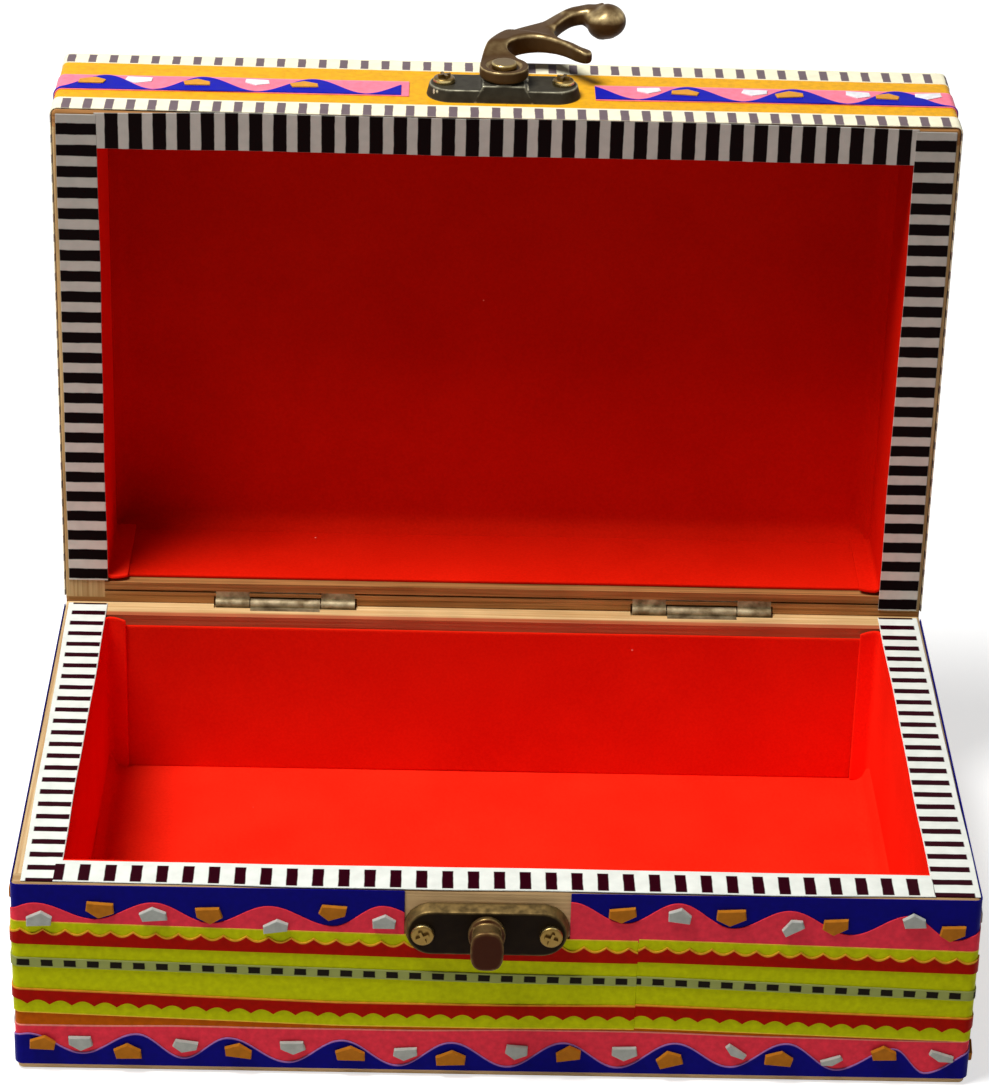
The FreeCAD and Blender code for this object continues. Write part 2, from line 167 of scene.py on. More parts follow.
def laid_sheet(name, place, stations, low, high, lift, thick, soft_edge, rows=1, segments=1):
    """A sheet laid on a face: a grid with a column at each station, reaching from its low edge to its
    high edge, with thickness outwards and softened edges; its rows crowd towards both edges. One map keeps
    the run in mm and the share across, another how many mm it is to the low and the high edge."""
    bpy.ops.object.select_all(action="DESELECT")
    bpy.ops.mesh.primitive_grid_add(x_subdivisions=len(stations) - 1, y_subdivisions=rows, size=1)
    piece = bpy.context.object
    piece.name = piece.data.name = name
    flat = np.empty(len(piece.data.vertices) * 3)
    piece.data.vertices.foreach_get("co", flat)
    flat = flat.reshape(-1, 3) + 0.5
    along = np.asarray(stations, float)[np.rint(flat[:, 0] * (len(stations) - 1)).astype(int)]
    share = (1 - np.cos(math.pi * flat[:, 1])) / 2
    up = low(along) * (1 - share) + high(along) * share
    off = lift(along, up) if callable(lift) else np.full_like(along, lift)
    piece.data.vertices.foreach_set("co", (place(along, up, off) * MM).ravel())
    corners = np.empty(len(piece.data.loops), int)
    piece.data.loops.foreach_get("vertex_index", corners)
    run = np.stack([along, share], axis=1)[corners]
    piece.data.uv_layers[0].name = "run"
    piece.data.uv_layers[0].uv.foreach_set("vector", run.ravel())
    rest = np.stack([up - low(along), high(along) - up], axis=1)[corners]
    piece.data.uv_layers.new(name="from_edges").uv.foreach_set("vector", rest.ravel())
    body = piece.modifiers.new("thickness", "SOLIDIFY")
    body.thickness, body.offset = thick * MM, 1
    body.material_offset_rim = 1 if segments == 1 else 0
    edge = piece.modifiers.new("cut_edge", "BEVEL")
    edge.width, edge.segments, edge.angle_limit = soft_edge * MM, segments, math.radians(50)
    edge.material = 1 if segments == 1 else -1
    bpy.ops.object.modifier_apply(modifier="thickness")
    bpy.ops.object.modifier_apply(modifier="cut_edge")
    bpy.ops.object.shade_smooth_by_angle(angle=math.radians(35))
    return piece


def painted_shade_by_height(tree, colour, painted_shade):
    """Painted shade: the colour multiplied by a share that changes with the height: (from, share, to,
    share).
    """
    start, low, end, high = painted_shade
    place = add_node(tree, "TexCoord").outputs["Object"]
    height = add_node(tree, "SeparateXYZ", {"Vector": place}).outputs["Z"]
    spans = {"Value": height, "From Min": start * MM, "To Min": low, "From Max": end * MM, "To Max": high}
    tint = {0: 1.0, 6: colour, 7: add_node(tree, "MapRange", spans)}
    return add_node(tree, "Mix", tint, data_type="RGBA", blend_type="MULTIPLY")


def red_flock(name, dark, light, painted_shade=None):
    """Flocked paper: short nylon fibres on red glue, quite matt, with a few specks of white lint.
    Painted shade, where it is given, makes a card paler at its low end and darker at its high end."""
    finish = new_finish(name)
    tree = finish.node_tree
    place = add_node(tree, "TexCoord").outputs["Object"]
    nap = add_node(tree, "TexNoise", {"Vector": place, "Scale": 1 / (0.5 * MM), "Detail": 3.0})
    rubbed = add_node(tree, "TexNoise", {"Vector": place, "Scale": 1 / (16 * MM), "Detail": 3.0})
    both = add_node(tree, "Math", {0: nap, 1: rubbed}, operation="ADD")
    tone = add_node(tree, "MapRange", {"Value": both, "From Min": 0.7, "From Max": 1.3})
    red = add_node(tree, "Mix", {0: tone, 6: linear(dark), 7: linear(light)}, data_type="RGBA")
    specks = add_node(tree, "TexVoronoi", {"Vector": place, "Scale": 1 / (LINT_CELL * MM)})
    spans = {"Value": specks, "From Min": LINT + LINT_SOFT, "From Max": LINT - LINT_SOFT}
    lint = add_node(tree, "MapRange", spans)
    tint = {0: lint, 6: red, 7: linear("#F0B0A4")}
    linted = add_node(tree, "Mix", tint, data_type="RGBA")
    nap_red = painted_shade_by_height(tree, linted, painted_shade) if painted_shade else linted
    bump = add_node(tree, "Bump", {"Height": nap, "Strength": 0.2, "Distance": 0.12 * MM})
    inputs = {"Base Color": nap_red, "Roughness": 0.9, "Normal": bump}
    inputs.update({"Specular IOR Level": 0.0, "Sheen Weight": 0.02, "Sheen Tint": linear("#FF3A18")})
    shader = add_node(tree, "BsdfPrincipled", inputs)
    add_node(tree, "OutputMaterial", {"Surface": shader})
    return finish


def line_half(half, flock, half_depth, flat_z, rim_z, back_z, turn):
    """Lines one half of the box: a flat card, a front and a back card, and two side cards with tabs."""
    inward = math.copysign(1, rim_z - flat_z)
    wall_z = flat_z + inward * CARD
    bottom, top = sorted((wall_z, rim_z))
    back_low, back_high = sorted((wall_z, back_z))
    reach = WOOD_HALF_WIDTH - CARD_PLAY
    depth = half_depth - CARD_PLAY
    back_face = half_depth - CARD

    def ripple(along, up):
        return 0.1 * np.sin(along / 13 + half_depth) * np.sin(up / 7 + 1)

    def coved(along, up):
        """The flat card is not creased where it meets the walls: it runs up them in a hollow curve."""
        to_side = np.clip(COVE - reach + CARD + np.abs(along), 0, COVE)
        to_end = np.clip(COVE - back_face + np.abs(up), 0, COVE) * (inward < 0)
        rise = [COVE - np.sqrt(COVE**2 - into**2) for into in (to_side, to_end)]
        return ripple(along, up) + np.maximum(*rise)

    def flat_card(along, up, lift):
        return turn(np.stack([inward * along, up, flat_z + inward * lift], axis=1))

    def front_card(along, up, lift):
        return turn(np.stack([-along, lift - half_depth, up], axis=1))

    def back_card(along, up, lift):
        return turn(np.stack([along, half_depth - lift, up], axis=1))

    def left_card(along, up, lift):
        angle = np.clip((along - back_face + TURN_ROUND) / TURN_ROUND, 0, math.pi / 2)
        past = np.maximum(along - back_face + TURN_ROUND - TURN_ROUND * math.pi / 2, 0)
        x = TURN_ROUND * (1 - np.cos(angle)) + past + lift * np.cos(angle) - WOOD_HALF_WIDTH
        y = np.minimum(along, back_face - TURN_ROUND) + (TURN_ROUND - lift) * np.sin(angle)
        return turn(np.stack([x, y, up], axis=1))

    def right_card(along, up, lift):
        return left_card(-along, up, lift) * np.array([-1, 1, 1])

    def tab_top(along):
        past = np.clip((np.abs(along) - back_face - TAB_STRAIGHT) / (TAB - TAB_STRAIGHT), 0, 1)
        drop = TAB_DROP * past**2
        return rim_z - inward * drop

    across = reach * np.sin(np.linspace(-math.pi / 2, math.pi / 2, 73))
    inner = np.linspace(-reach + CARD, reach - CARD, 49)
    straight = np.linspace(-back_face, back_face - TURN_ROUND, 30)
    side = np.concatenate([straight, np.linspace(back_face - TURN_ROUND, back_face + TAB, 18)[1:]])
    side_low, side_high = (level(bottom), tab_top) if inward > 0 else (tab_top, level(top))
    cards = {
        "floor" if inward > 0 else "top": (flat_card, across, level(-depth), level(depth)),
        "front": (front_card, across, level(bottom), level(top)),
        "back": (back_card, inner, level(back_low), level(back_high)),
        "left": (left_card, side, side_low, side_high),
        "right": (right_card, -side[::-1], side_low, side_high),
    }
    for where, (place, stations, low, high) in cards.items():
        node = f"{half}_{where}_lining"
        flat = where in ("floor", "top")
        lift = coved if flat else ripple
        rows = 40 if flat else 12
        name = f"{half}_{where}_card"
        card = laid_sheet(name, place, stations, low, high, lift, CARD, CARD_EDGE, rows, segments=2)
        card.data.materials.append(flock)
        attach(card, half)
        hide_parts(node)
        ends = stations[0], stations[-1]
        tall = float(abs(high(np.array(ends[:1])) - low(np.array(ends[:1])))[0])


def in_place(points):
    """The base's points stay where they are."""
    return points


BASE_FLOOR, BASE_TOP = 4.0, 36.8  # heights of the floor board and of the base's rim
LID_RIM, LID_INSIDE, LID_HALF_DEPTH = 37.6, 24.0, 43.6  # the shut lid's rim, and the room inside it
CARD_DROP = 2.0  # how far the back cards stop short of the rims
base_half_depth = -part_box("base_front_panel")[1].y / MM
base_flock = red_flock("red_flocked_paper_base", "#F42210", "#FF2C16")
line_half("base", base_flock, base_half_depth, BASE_FLOOR, BASE_TOP, BASE_TOP - CARD_DROP, in_place)
# Painted shade: the lid is lined with the same flock, painted darker, and by height paler towards the hinge
# and darker towards the lid's top.
lid_flock_painted_shade = red_flock("red_flocked_paper_lid_painted_shade", "#C61404", "#D41A08", (45, 1.2, 130, 0.8))
line_half("lid", lid_flock_painted_shade, LID_HALF_DEPTH, LID_RIM + LID_INSIDE, LID_RIM, LID_RIM + CARD_DROP, opened)
# Painted light: the lid's left card takes the base's brighter flock, so that it shows paler than the rest of
# the lid.
bpy.data.objects["lid_left_card"].data.materials[0] = base_flock
# Painted shade: the base's back card is the same flock, painted darker.
back_flock_painted_shade = red_flock("red_flocked_paper_back_painted_shade", "#DE1D0B", "#EA2610")
bpy.data.objects["base_back_card"].data.materials[0] = back_flock_painted_shade


# Rim tapes: striped paper tape, black bars printed on white, glued along three rims of each half.
# The side lengths run right through to the front, and the front length is fitted between them.
TAPE = 0.25  # thickness of the tape
CUT_EDGE = 0.08  # mm by which a cut edge is rounded
LOW_WANDER, HIGH_WANDER = 0.08, 0.06  # mm by which a tape's low and high edges wander
FRONT_SHORT = 0.93  # the base's front length is narrower than its solid by so much
WAVER = 0.25  # mm by which the edge of a printed bar strays
INK_SOFT, MARGIN_SOFT = 0.07, 0.012  # how soft a bar's edge is, in mm, and its end, as a share of the width
BASE_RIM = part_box("base_front_rim_tape")[0].z / MM
FRONT_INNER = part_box("base_front_rim_tape")[1].y / MM
SIDE_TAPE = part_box("base_right_rim_tape")[0] / MM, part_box("base_right_rim_tape")[1] / MM


def striped_tape(name, pitch, first, black_share, margins, black, white, painted_shade=None):
    """Printed paper tape: a bar every so many mm from the first, with slightly uneven edges and a white
    margin along each edge of the tape; a dull sealed surface."""
    finish = new_finish(name)
    tree = finish.node_tree
    run = add_node(tree, "UVMap", uv_map="run")
    axes = add_node(tree, "SeparateXYZ", {"Vector": run})
    close = add_node(tree, "Mapping", {"Vector": run, "Scale": (0.45, 2.2, 1.0)})
    waver = add_node(tree, "TexNoise", {"Vector": close, "Scale": 1.0, "Detail": 2.0})
    moved = add_node(tree, "Math", {0: axes.outputs["X"], 1: first + WAVER / 2}, operation="SUBTRACT")
    shift = add_node(tree, "Math", {0: waver, 1: WAVER, 2: moved}, operation="MULTIPLY_ADD")
    swing = add_node(tree, "Math", {0: shift, 1: pitch / 2}, operation="PINGPONG")
    half_bar = black_share * pitch / 2
    spans = {"Value": swing, "From Min": half_bar + INK_SOFT, "From Max": half_bar - INK_SOFT}
    bar = add_node(tree, "MapRange", spans)
    low, high = margins[0], 1 - margins[1]
    spans = {"Value": axes.outputs["Y"], "From Min": low - MARGIN_SOFT, "From Max": low + MARGIN_SOFT}
    above = add_node(tree, "MapRange", spans)
    spans = {"Value": axes.outputs["Y"], "From Min": high + MARGIN_SOFT, "From Max": high - MARGIN_SOFT}
    below = add_node(tree, "MapRange", spans)
    inside = add_node(tree, "Math", {0: above, 1: below}, operation="MULTIPLY")
    printed = add_node(tree, "Math", {0: bar, 1: inside}, operation="MULTIPLY")
    place = add_node(tree, "TexCoord").outputs["Object"]
    dirt = add_node(tree, "TexNoise", {"Vector": place, "Scale": 1 / (2.5 * MM), "Detail": 4.0})
    spans = {"Value": dirt, "From Min": 0.3, "From Max": 0.75, "To Min": 1.0, "To Max": 0.86}
    grey = add_node(tree, "MapRange", spans)
    ink = add_node(tree, "Mix", {0: printed, 6: linear(white), 7: linear(black)}, data_type="RGBA")
    tint = {0: 1.0, 6: ink, 7: grey}
    worn = add_node(tree, "Mix", tint, data_type="RGBA", blend_type="MULTIPLY")
    # Painted shade, where it is given: the tape is painted paler low down and darker high up.
    shown = painted_shade_by_height(tree, worn, painted_shade) if painted_shade else worn
    bump = add_node(tree, "Bump", {"Height": dirt, "Strength": 0.25, "Distance": 0.1 * MM})
    inputs = {"Base Color": shown, "Roughness": 0.55, "Normal": bump, "Specular IOR Level": 0.03}
    shader = add_node(tree, "BsdfPrincipled", inputs)
    add_node(tree, "OutputMaterial", {"Surface": shader})
    return finish


def white_paper(name, colour):
    """The cut edge of the tape: plain paper, soft and matt, a little uneven in tone."""
    finish = new_finish(name)
    tree = finish.node_tree
    place = add_node(tree, "TexCoord").outputs["Object"]
    fibre = add_node(tree, "TexNoise", {"Vector": place, "Scale": 1 / (0.8 * MM), "Detail": 3.0})
    tone = add_node(tree, "MapRange", {"Value": fibre, "To Min": 0.86, "To Max": 1.06})
    tint = {0: 1.0, 6: linear(colour), 7: tone}
    toned = add_node(tree, "Mix", tint, data_type="RGBA", blend_type="MULTIPLY")
    inputs = {"Base Color": toned, "Roughness": 0.8, "Specular IOR Level": 0.1}
    matt = add_node(tree, "BsdfPrincipled", inputs)
    add_node(tree, "OutputMaterial", {"Surface": matt})
    return finish


def finished(piece, body, node, slot, *films):
    """Gives a piece its films and fixes it to the body whose solid it stands for."""
    for film in films:
        piece.data.materials.append(film)
    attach(piece, body)
    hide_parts(node)


def hand_laid(edge, wander):
    """An edge that was laid by hand: it wanders a little, in long and in short waves."""

    def laid(along):
        up = edge(along)
        return up + wander * np.sin(along / 11 + up) + 0.5 * wander * np.sin(along / 4.3)

    return laid


def on_rim(half, side):
    """How tape lies on a rim: along it, up across it, and lifted off the wood."""

    def place(along, up, lift):
        run = along if half == "base" else -along
        x, y = {"front": (run, up), "left": (-up, run), "right": (up, -run)}[side]
        if half == "base":
            return np.stack([x, y, BASE_RIM + lift], axis=1)
        return opened(np.stack([x, y, LID_RIM - lift], axis=1))

    return place


def wavy(turns):
    """A wavy edge, cut or laid by hand, that turns back at each of these places (along, up)."""
    places, heights = (np.array(column) for column in zip(*turns))

    def edge(along):
        step = np.clip(np.searchsorted(places, along) - 1, 0, len(places) - 2)
        share = np.clip((along - places[step]) / np.diff(places)[step], 0, 1)
        return heights[step] + np.diff(heights)[step] * (1 - np.cos(math.pi * share)) / 2

    return edge


def slanting(start, end, reach):
    """An edge that was laid askew: one height at the start of its reach, another at the end."""
    return lambda along: np.interp(along, [-reach, reach], [start, end])


HALF_WIDTH, HALF_DEPTH = 80.0, 50.0  # half the box's width and depth
front_run = np.linspace(-73.2, 72.4, 60)
lid_front_run = np.linspace(-72.6, 72.6, 60)
side_run = np.linspace(SIDE_TAPE[0].y, SIDE_TAPE[1].y, 40)
lid_left_run = np.linspace(-43.2, 49.3, 40)
lid_right_run = np.linspace(-49.3, 46.5, 40)
# Painted shade: the lid's rim tape is the base's tape with its white painted greyer, greyest on the front
# length; its side lengths are also painted paler towards the hinge and darker towards the lid's top.
base_ink, lid_ink_painted_shade, lid_front_ink_painted_shade = ("#2A000C", "#F2F6EC"), ("#0A0202", "#CAC5BA"), ("#0A0202", "#BDB8AE")
lid_painted_shade = 45, 1.25, 130, 0.78
tape_kinds = {
    "base_front": striped_tape("striped_tape_base_front", 4.284, 0.36, 0.44, (0.04, 0.18), *base_ink),
    "base_left": striped_tape("striped_tape_base_left", 4.005, 2.83, 0.39, (0.02, 0.12), *base_ink),
    "base_right": striped_tape("striped_tape_base_right", 3.995, 1.02, 0.41, (0.02, 0.12), *base_ink),
    "lid_front": striped_tape("striped_tape_lid_front", 4.232, 1.82, 0.56, (0, 0), *lid_front_ink_painted_shade),
    "lid_left": striped_tape("striped_tape_lid_left", 4.016, 2.38, 0.53, (0, 0), *lid_ink_painted_shade, lid_painted_shade),
    "lid_right": striped_tape("striped_tape_lid_right", 3.992, 1.22, 0.54, (0, 0), *lid_ink_painted_shade, lid_painted_shade),
}
paper_edge = white_paper("paper_tape_edge", "#EDE9DF")
inner, outer = SIDE_TAPE[0].x, SIDE_TAPE[1].x
front_near = wavy([(-HALF_WIDTH, -49.4), (-25, -49.8), (45, -49.8), (HALF_WIDTH, -49.5)])
left_far, right_far = slanting(78.5, 79.4, HALF_DEPTH), slanting(79.4, 79.9, HALF_DEPTH)
lid_near = wavy([(-HALF_WIDTH, -49.7), (-45, -50.05), (45, -50.05), (HALF_WIDTH, -49.6)])
rim_tapes = [
    ("base_front", front_run, front_near, level(FRONT_INNER - FRONT_SHORT), 0.06),
    ("base_left", side_run, level(inner), left_far, 0.0),
    ("base_right", -side_run[::-1], level(inner), right_far, 0.0),
    ("lid_front", lid_front_run, lid_near, level(-43.0), -0.04),
    ("lid_left", lid_left_run, level(inner), level(outer), 0.0),
    ("lid_right", lid_right_run, level(inner), level(outer), 0.0),
]
for where, stations, low, high, lift in rim_tapes:
    half, side = where.split("_")
    low, high = hand_laid(low, LOW_WANDER), hand_laid(high, HIGH_WANDER)
    name = f"{where}_striped_tape"
    tape = laid_sheet(name, on_rim(half, side), stations, low, high, lift, TAPE, CUT_EDGE)
    finished(tape, half, f"{where}_rim_tape", "striped_tape", tape_kinds[where], paper_edge)


# Wall strips of the base: self-adhesive vinyl cut by hand into bands and stuck on one over another.
# A blue band with a pink wave, a lime ribbon with red zigzags and a dashed line between them, and a pink
# band with a blue wave; small thick chips of ochre and chalk are glued along both waves.
CORNER = 1.0  # radius of the box's upright edges
FRONT_HALF, SIDE_RUN, BEND = HALF_WIDTH - CORNER, 2 * (HALF_DEPTH - CORNER), CORNER * math.pi / 2
BACK_TURN = FRONT_HALF + BEND + SIDE_RUN  # from the front's middle to where the back corner starts
ROUND = 2 * (BACK_TURN + BEND + FRONT_HALF)  # once round the box
FILM = 0.2  # thickness of a vinyl film
SEAM = 23.6  # the ribbon starts and ends here, right of the catch
# Painted highlight: the pale line along a cut edge is partly the film's pale core, partly painted light
# where the light from above catches the edge.
CORE_LINE, CORE_SOFT = 0.28, 0.06  # mm of pale core that show along a cut edge, and how soft that line is
SOFT_EDGE = 0.09  # mm by which a softer edge is rounded
GLUE = 0.02  # thickness of the glue under a film
PAD = 0.1  # lift of the strips that lie on a thicker bed
RIBBON_DOWN, RIBBON_UP = 9.4, 8.9  # a ribbon's edges, from its middle
STRIP_NEAR, STRIP_FAR = 4.4, 7.05  # a zigzag strip's straight edge and the middle of its teeth
UPPER_DEPTH, LOWER_DEPTH = 0.95, 0.9  # how deep the teeth of the upper and the lower strip are
DASH_HALF = 0.95  # half the width of a dashed line
BAND_CUT, CHIP_DOWN = 3.3, 0.9  # how much lower the upper band ends on the hinge side, and chips sit there
NICK, NICK_SLOPE = 2.2, 0.8  # the films are cut back from so far before the back corners, over this slope
BAND_WANDER = 0.1  # mm by which a band's edge wanders


def from_front(along):
    """How far a place is from the front's middle, to the right or, below nought, to the left."""
    return (along + ROUND / 2) % ROUND - ROUND / 2


def box_wall(along, up, lift):
    """A place on the outer walls: along from the front's middle, up from the table, lift off the wood."""
    run = from_front(along)
    far = np.abs(run)
    front_bend = np.clip((far - FRONT_HALF) / CORNER, 0, math.pi / 2)
    back_bend = np.clip((far - BACK_TURN) / CORNER, 0, math.pi / 2)
    turned = front_bend + back_bend
    x = np.minimum(far, FRONT_HALF) + CORNER * (np.sin(front_bend) - 1 + np.cos(back_bend))
    x -= np.maximum(far - BACK_TURN - BEND, 0)
    y = CORNER * (1 - np.cos(front_bend) + np.sin(back_bend)) - HALF_DEPTH
    y += np.clip(far - FRONT_HALF - BEND, 0, SIDE_RUN)
    return np.stack([np.sign(run) * (x + lift * np.sin(turned)), y - lift * np.cos(turned), up], axis=1)


def lid_wall(along, up, lift):
    """The same on the lid, with up counted from its rim."""
    return opened(box_wall(along, LID_RIM + up, lift))


def at_back(along):
    """One on the hinge side and just round its corners, nought elsewhere."""
    return np.clip((np.abs(from_front(along)) - BACK_TURN + NICK) / NICK_SLOPE, 0, 1)


def marks(start, end, step):
    """Stations along a strip: one every step, and more of them at the nicks and round the corners."""
    every = list(np.linspace(start, end, max(2, round((end - start) / step) + 1)))
    for lap in (0, ROUND):
        for side in (-1, 1):
            every += [lap + side * (BACK_TURN - NICK), lap + side * (BACK_TURN - NICK + NICK_SLOPE)]
            for corner in (FRONT_HALF, BACK_TURN):
                every += list(np.linspace(lap + side * corner, lap + side * (corner + BEND), 6))
    every = np.array(every)
    return np.unique(np.round(every[(every >= start) & (every <= end)], 3))


def even_waves(crests, high, low):
    """Where even waves turn: high at each crest, and low halfway to the next."""
    troughs = (np.array(crests[1:]) + crests[:-1]) / 2
    return sorted([(along, high) for along in crests] + [(along, low) for along in troughs])


def a_lap_on(turns):
    """The same places, counted once more round the box."""
    return [(along + ROUND, up) for along, up in turns]


def zigzag(middle, teeth, depth):
    """An edge cut into pointed teeth with rounded notches."""
    return lambda along: middle(along) + depth * (0.5 - np.abs(np.sin(math.pi * teeth(along))))


def raised(edge, by):
    """The same edge, higher by so much."""
    return lambda along: edge(along) + by


def cut_vinyl(name, colour, gloss=0.38, core_and_highlight=None, both=False):
    """Calendered vinyl film: smooth and satin, faintly rippled by the glue below, a little dusty.
    Where a pale core is given, it is a fine line painted along the high edge or along both edges: partly the
    film's pale core, partly a painted highlight where light from above catches the cut edge."""
    finish = new_finish(name)
    tree = finish.node_tree
    place = add_node(tree, "TexCoord").outputs["Object"]
    dust = add_node(tree, "TexNoise", {"Vector": place, "Scale": 1 / (1.2 * MM), "Detail": 5.0})
    glue = add_node(tree, "TexNoise", {"Vector": place, "Scale": 1 / (8 * MM), "Detail": 2.0})
    spans = {"Value": dust, "From Min": 0.3, "From Max": 0.7, "To Min": 0.88, "To Max": 1.1}
    tone = add_node(tree, "MapRange", spans)
    film = linear(colour)
    if core_and_highlight:
        from_edges = add_node(tree, "UVMap", uv_map="from_edges")
        edges = add_node(tree, "SeparateXYZ", {"Vector": from_edges})
        nearest = edges.outputs["Y"]
        if both:
            nearest = add_node(tree, "Math", {0: edges.outputs["X"], 1: nearest}, operation="MINIMUM")
        spans = {"Value": nearest, "From Min": CORE_LINE + CORE_SOFT, "From Max": CORE_LINE - CORE_SOFT}
        line = add_node(tree, "MapRange", spans)
        film = add_node(tree, "Mix", {0: line, 6: film, 7: linear(core_and_highlight)}, data_type="RGBA")
    tint = {0: 1.0, 6: film, 7: tone}
    toned = add_node(tree, "Mix", tint, data_type="RGBA", blend_type="MULTIPLY")
    dull = add_node(tree, "MapRange", {"Value": dust, "To Min": gloss - 0.08, "To Max": gloss + 0.14})
    bump = add_node(tree, "Bump", {"Height": glue, "Strength": 0.3, "Distance": 0.6 * MM})
    inputs = {"Base Color": toned, "Roughness": dull, "Normal": bump, "Specular IOR Level": 0.03}
    shader = add_node(tree, "BsdfPrincipled", inputs)
    add_node(tree, "OutputMaterial", {"Surface": shader})
    return finish


# Painted highlight: each pale core colour below is painted along the film's high edge, where light from
# above catches the cut; on the lime ribbon it runs along both edges.
blue = cut_vinyl("blue_vinyl", "#0B0778", core_and_highlight="#A070B0")
blue_plain = cut_vinyl("blue_vinyl_band", "#0B0778")
pink = cut_vinyl("pink_vinyl", "#F0394B", core_and_highlight="#F08C7C")
pink_plain = cut_vinyl("pink_vinyl_wave", "#F0394B")
lime = cut_vinyl("lime_vinyl", "#C6CA04", core_and_highlight="#EFC83C", both=True)
red = cut_vinyl("red_vinyl", "#A80D00", core_and_highlight="#E0A02C")
red_high = cut_vinyl("red_vinyl_low_strip", "#A80D00", core_and_highlight="#E0902C")
orange = cut_vinyl("orange_vinyl", "#C25A04")
pale_lilac, pale_yellow = cut_vinyl("cut_edge_lilac", "#B080B8"), cut_vinyl("cut_edge_yellow", "#E8B43C")
pale_pink = cut_vinyl("cut_edge_pink", "#F08C80")
dashes = striped_tape("dashed_line_vinyl", 3.822, 0.48, 0.52, (0.17, 0.17), "#1C160E", "#A0A65C")

left_heights = [(ROUND - 80, 21.1), (ROUND - 40, 20.2), (ROUND, 19.35), (ROUND + 30, 19.1)]
ribbon_heights = [(SEAM, 19.5), (80, 18.15), (178, 18.6), (259, 19.4), (340, 20.3), *left_heights]
dash_drift = [(SEAM, 0.6), (80, -0.05), (178, 0.2), (ROUND - 80, 0.8), (ROUND + SEAM, 0.8)]
low_drift = [(SEAM, 0.3), (80, 0), (ROUND - 80, 0), (ROUND - 26, -0.55), (ROUND + 20, 0.36)]
# Each row of teeth is counted along its strip, from places where a tooth was counted.
upper_teeth = [(SEAM, 5.695), (80, 20.9), (ROUND - 80, 117.64), (ROUND + SEAM, 145.41)]
lower_teeth = [(SEAM, 6.176), (80, 21.257), (ROUND - 80, 117.45), (ROUND + SEAM, 145.228)]


def drawn(heights):
    """A line through the heights measured along it."""
    return lambda along: np.interp(along, *zip(*heights))


def summed(line, other):
    """One line laid on another."""
    return lambda along: line(along) + other(along)


ribbon = drawn(ribbon_heights)


def at_teeth(counted, fine):
    """Stations along a zigzag strip: so many to each tooth, and close together round the corners."""
    places, counts = (np.array(column) for column in zip(*counted))
    each = np.arange(math.ceil(counts[0] * fine), counts[-1] * fine) / fine
    return np.unique(np.round([*marks(places[0], places[-1], 8), *np.interp(each, counts, places)], 3))


def stick(name, place, run, low, high, lift, on, film, edge=None, soft=CUT_EDGE, thick=FILM):
    """A strip of film, cut out and stuck on a wall as part of the solid that it stands for. Where its cut
    edge has no colour of its own, it is that of the film."""
    strip = laid_sheet(name, place, run, low, high, lift, thick, soft)
    finished(strip, *on, "cut_vinyl", film, edge or film)


def wall_ribbon(half, place, on, middle, dashed, lower, upper_count, lower_count, fine):
    """A lime ribbon with a zigzag red strip near each edge and a dashed line along the middle."""
    plain = marks(upper_count[0][0], upper_count[-1][0], 3.0)
    upper_run, lower_run = at_teeth(upper_count, fine), at_teeth(lower_count, fine)
    upper_edge = zigzag(raised(middle, STRIP_FAR), drawn(upper_count), UPPER_DEPTH)
    lower_edge = zigzag(raised(lower, -STRIP_FAR), drawn(lower_count), -LOWER_DEPTH)
    foot, head = raised(lower, -RIBBON_DOWN), raised(middle, RIBBON_UP)
    dash_low, dash_high = raised(dashed, -DASH_HALF), raised(dashed, DASH_HALF)
    lying = GLUE + FILM
    upon = lying + FILM
    strips = [
        ("ribbon", lime, pale_yellow, foot, head, plain, lying),
        ("upper_zigzag", red, pale_yellow, raised(middle, STRIP_NEAR), upper_edge, upper_run, upon),
        ("lower_zigzag", red_high, pale_yellow, lower_edge, raised(lower, -STRIP_NEAR), lower_run, upon),
        ("dashed_line", dashes, dashes, dash_low, dash_high, plain, upon),
    ]
    for name, film, edge, low, high, run, lift in strips:
        stick(f"{half}_{name}", place, run, low, high, lift, on, film, edge, SOFT_EDGE)


def set_chips(name, place, film, edge, on, spots, lift, seed, size=1.0, thick=1.0):
    """Sets copies of the chip on a wall: one at each spot (along, up, turn in degrees, slimness)."""
    chance = random.Random(seed)
    copies = []
    for along, up, turn, *slim in spots:
        copy = chip.copy()
        copy.data = chip.data.copy()
        bpy.context.collection.objects.link(copy)
        angle = math.radians(turn + chance.uniform(-9, 9))
        wide, lean = size * chance.uniform(0.9, 1.1), chance.uniform(-0.2, 0.2)
        tall = size * chance.uniform(0.85, 1.02) * (slim[0] if slim else 1)
        local = np.array([vertex.co[:] for vertex in copy.data.vertices]) * (wide, tall, thick)
        local[:, 0] += lean * local[:, 1]
        x = local[:, 0] * math.cos(angle) - local[:, 1] * math.sin(angle) + along
        y = local[:, 0] * math.sin(angle) + local[:, 1] * math.cos(angle) + up
        copy.data.vertices.foreach_set("co", (place(x, y, local[:, 2] + lift) * MM).ravel())
        copies.append(copy)
    bpy.ops.object.select_all(action="DESELECT")
    for copy in copies:
        copy.select_set(True)
    bpy.context.view_layer.objects.active = copies[0]
    bpy.ops.object.join()
    chips = bpy.context.object
    chips.name = chips.data.name = name
    chips.data.materials.clear()
    finished(chips, *on, "cut_vinyl", film, edge)


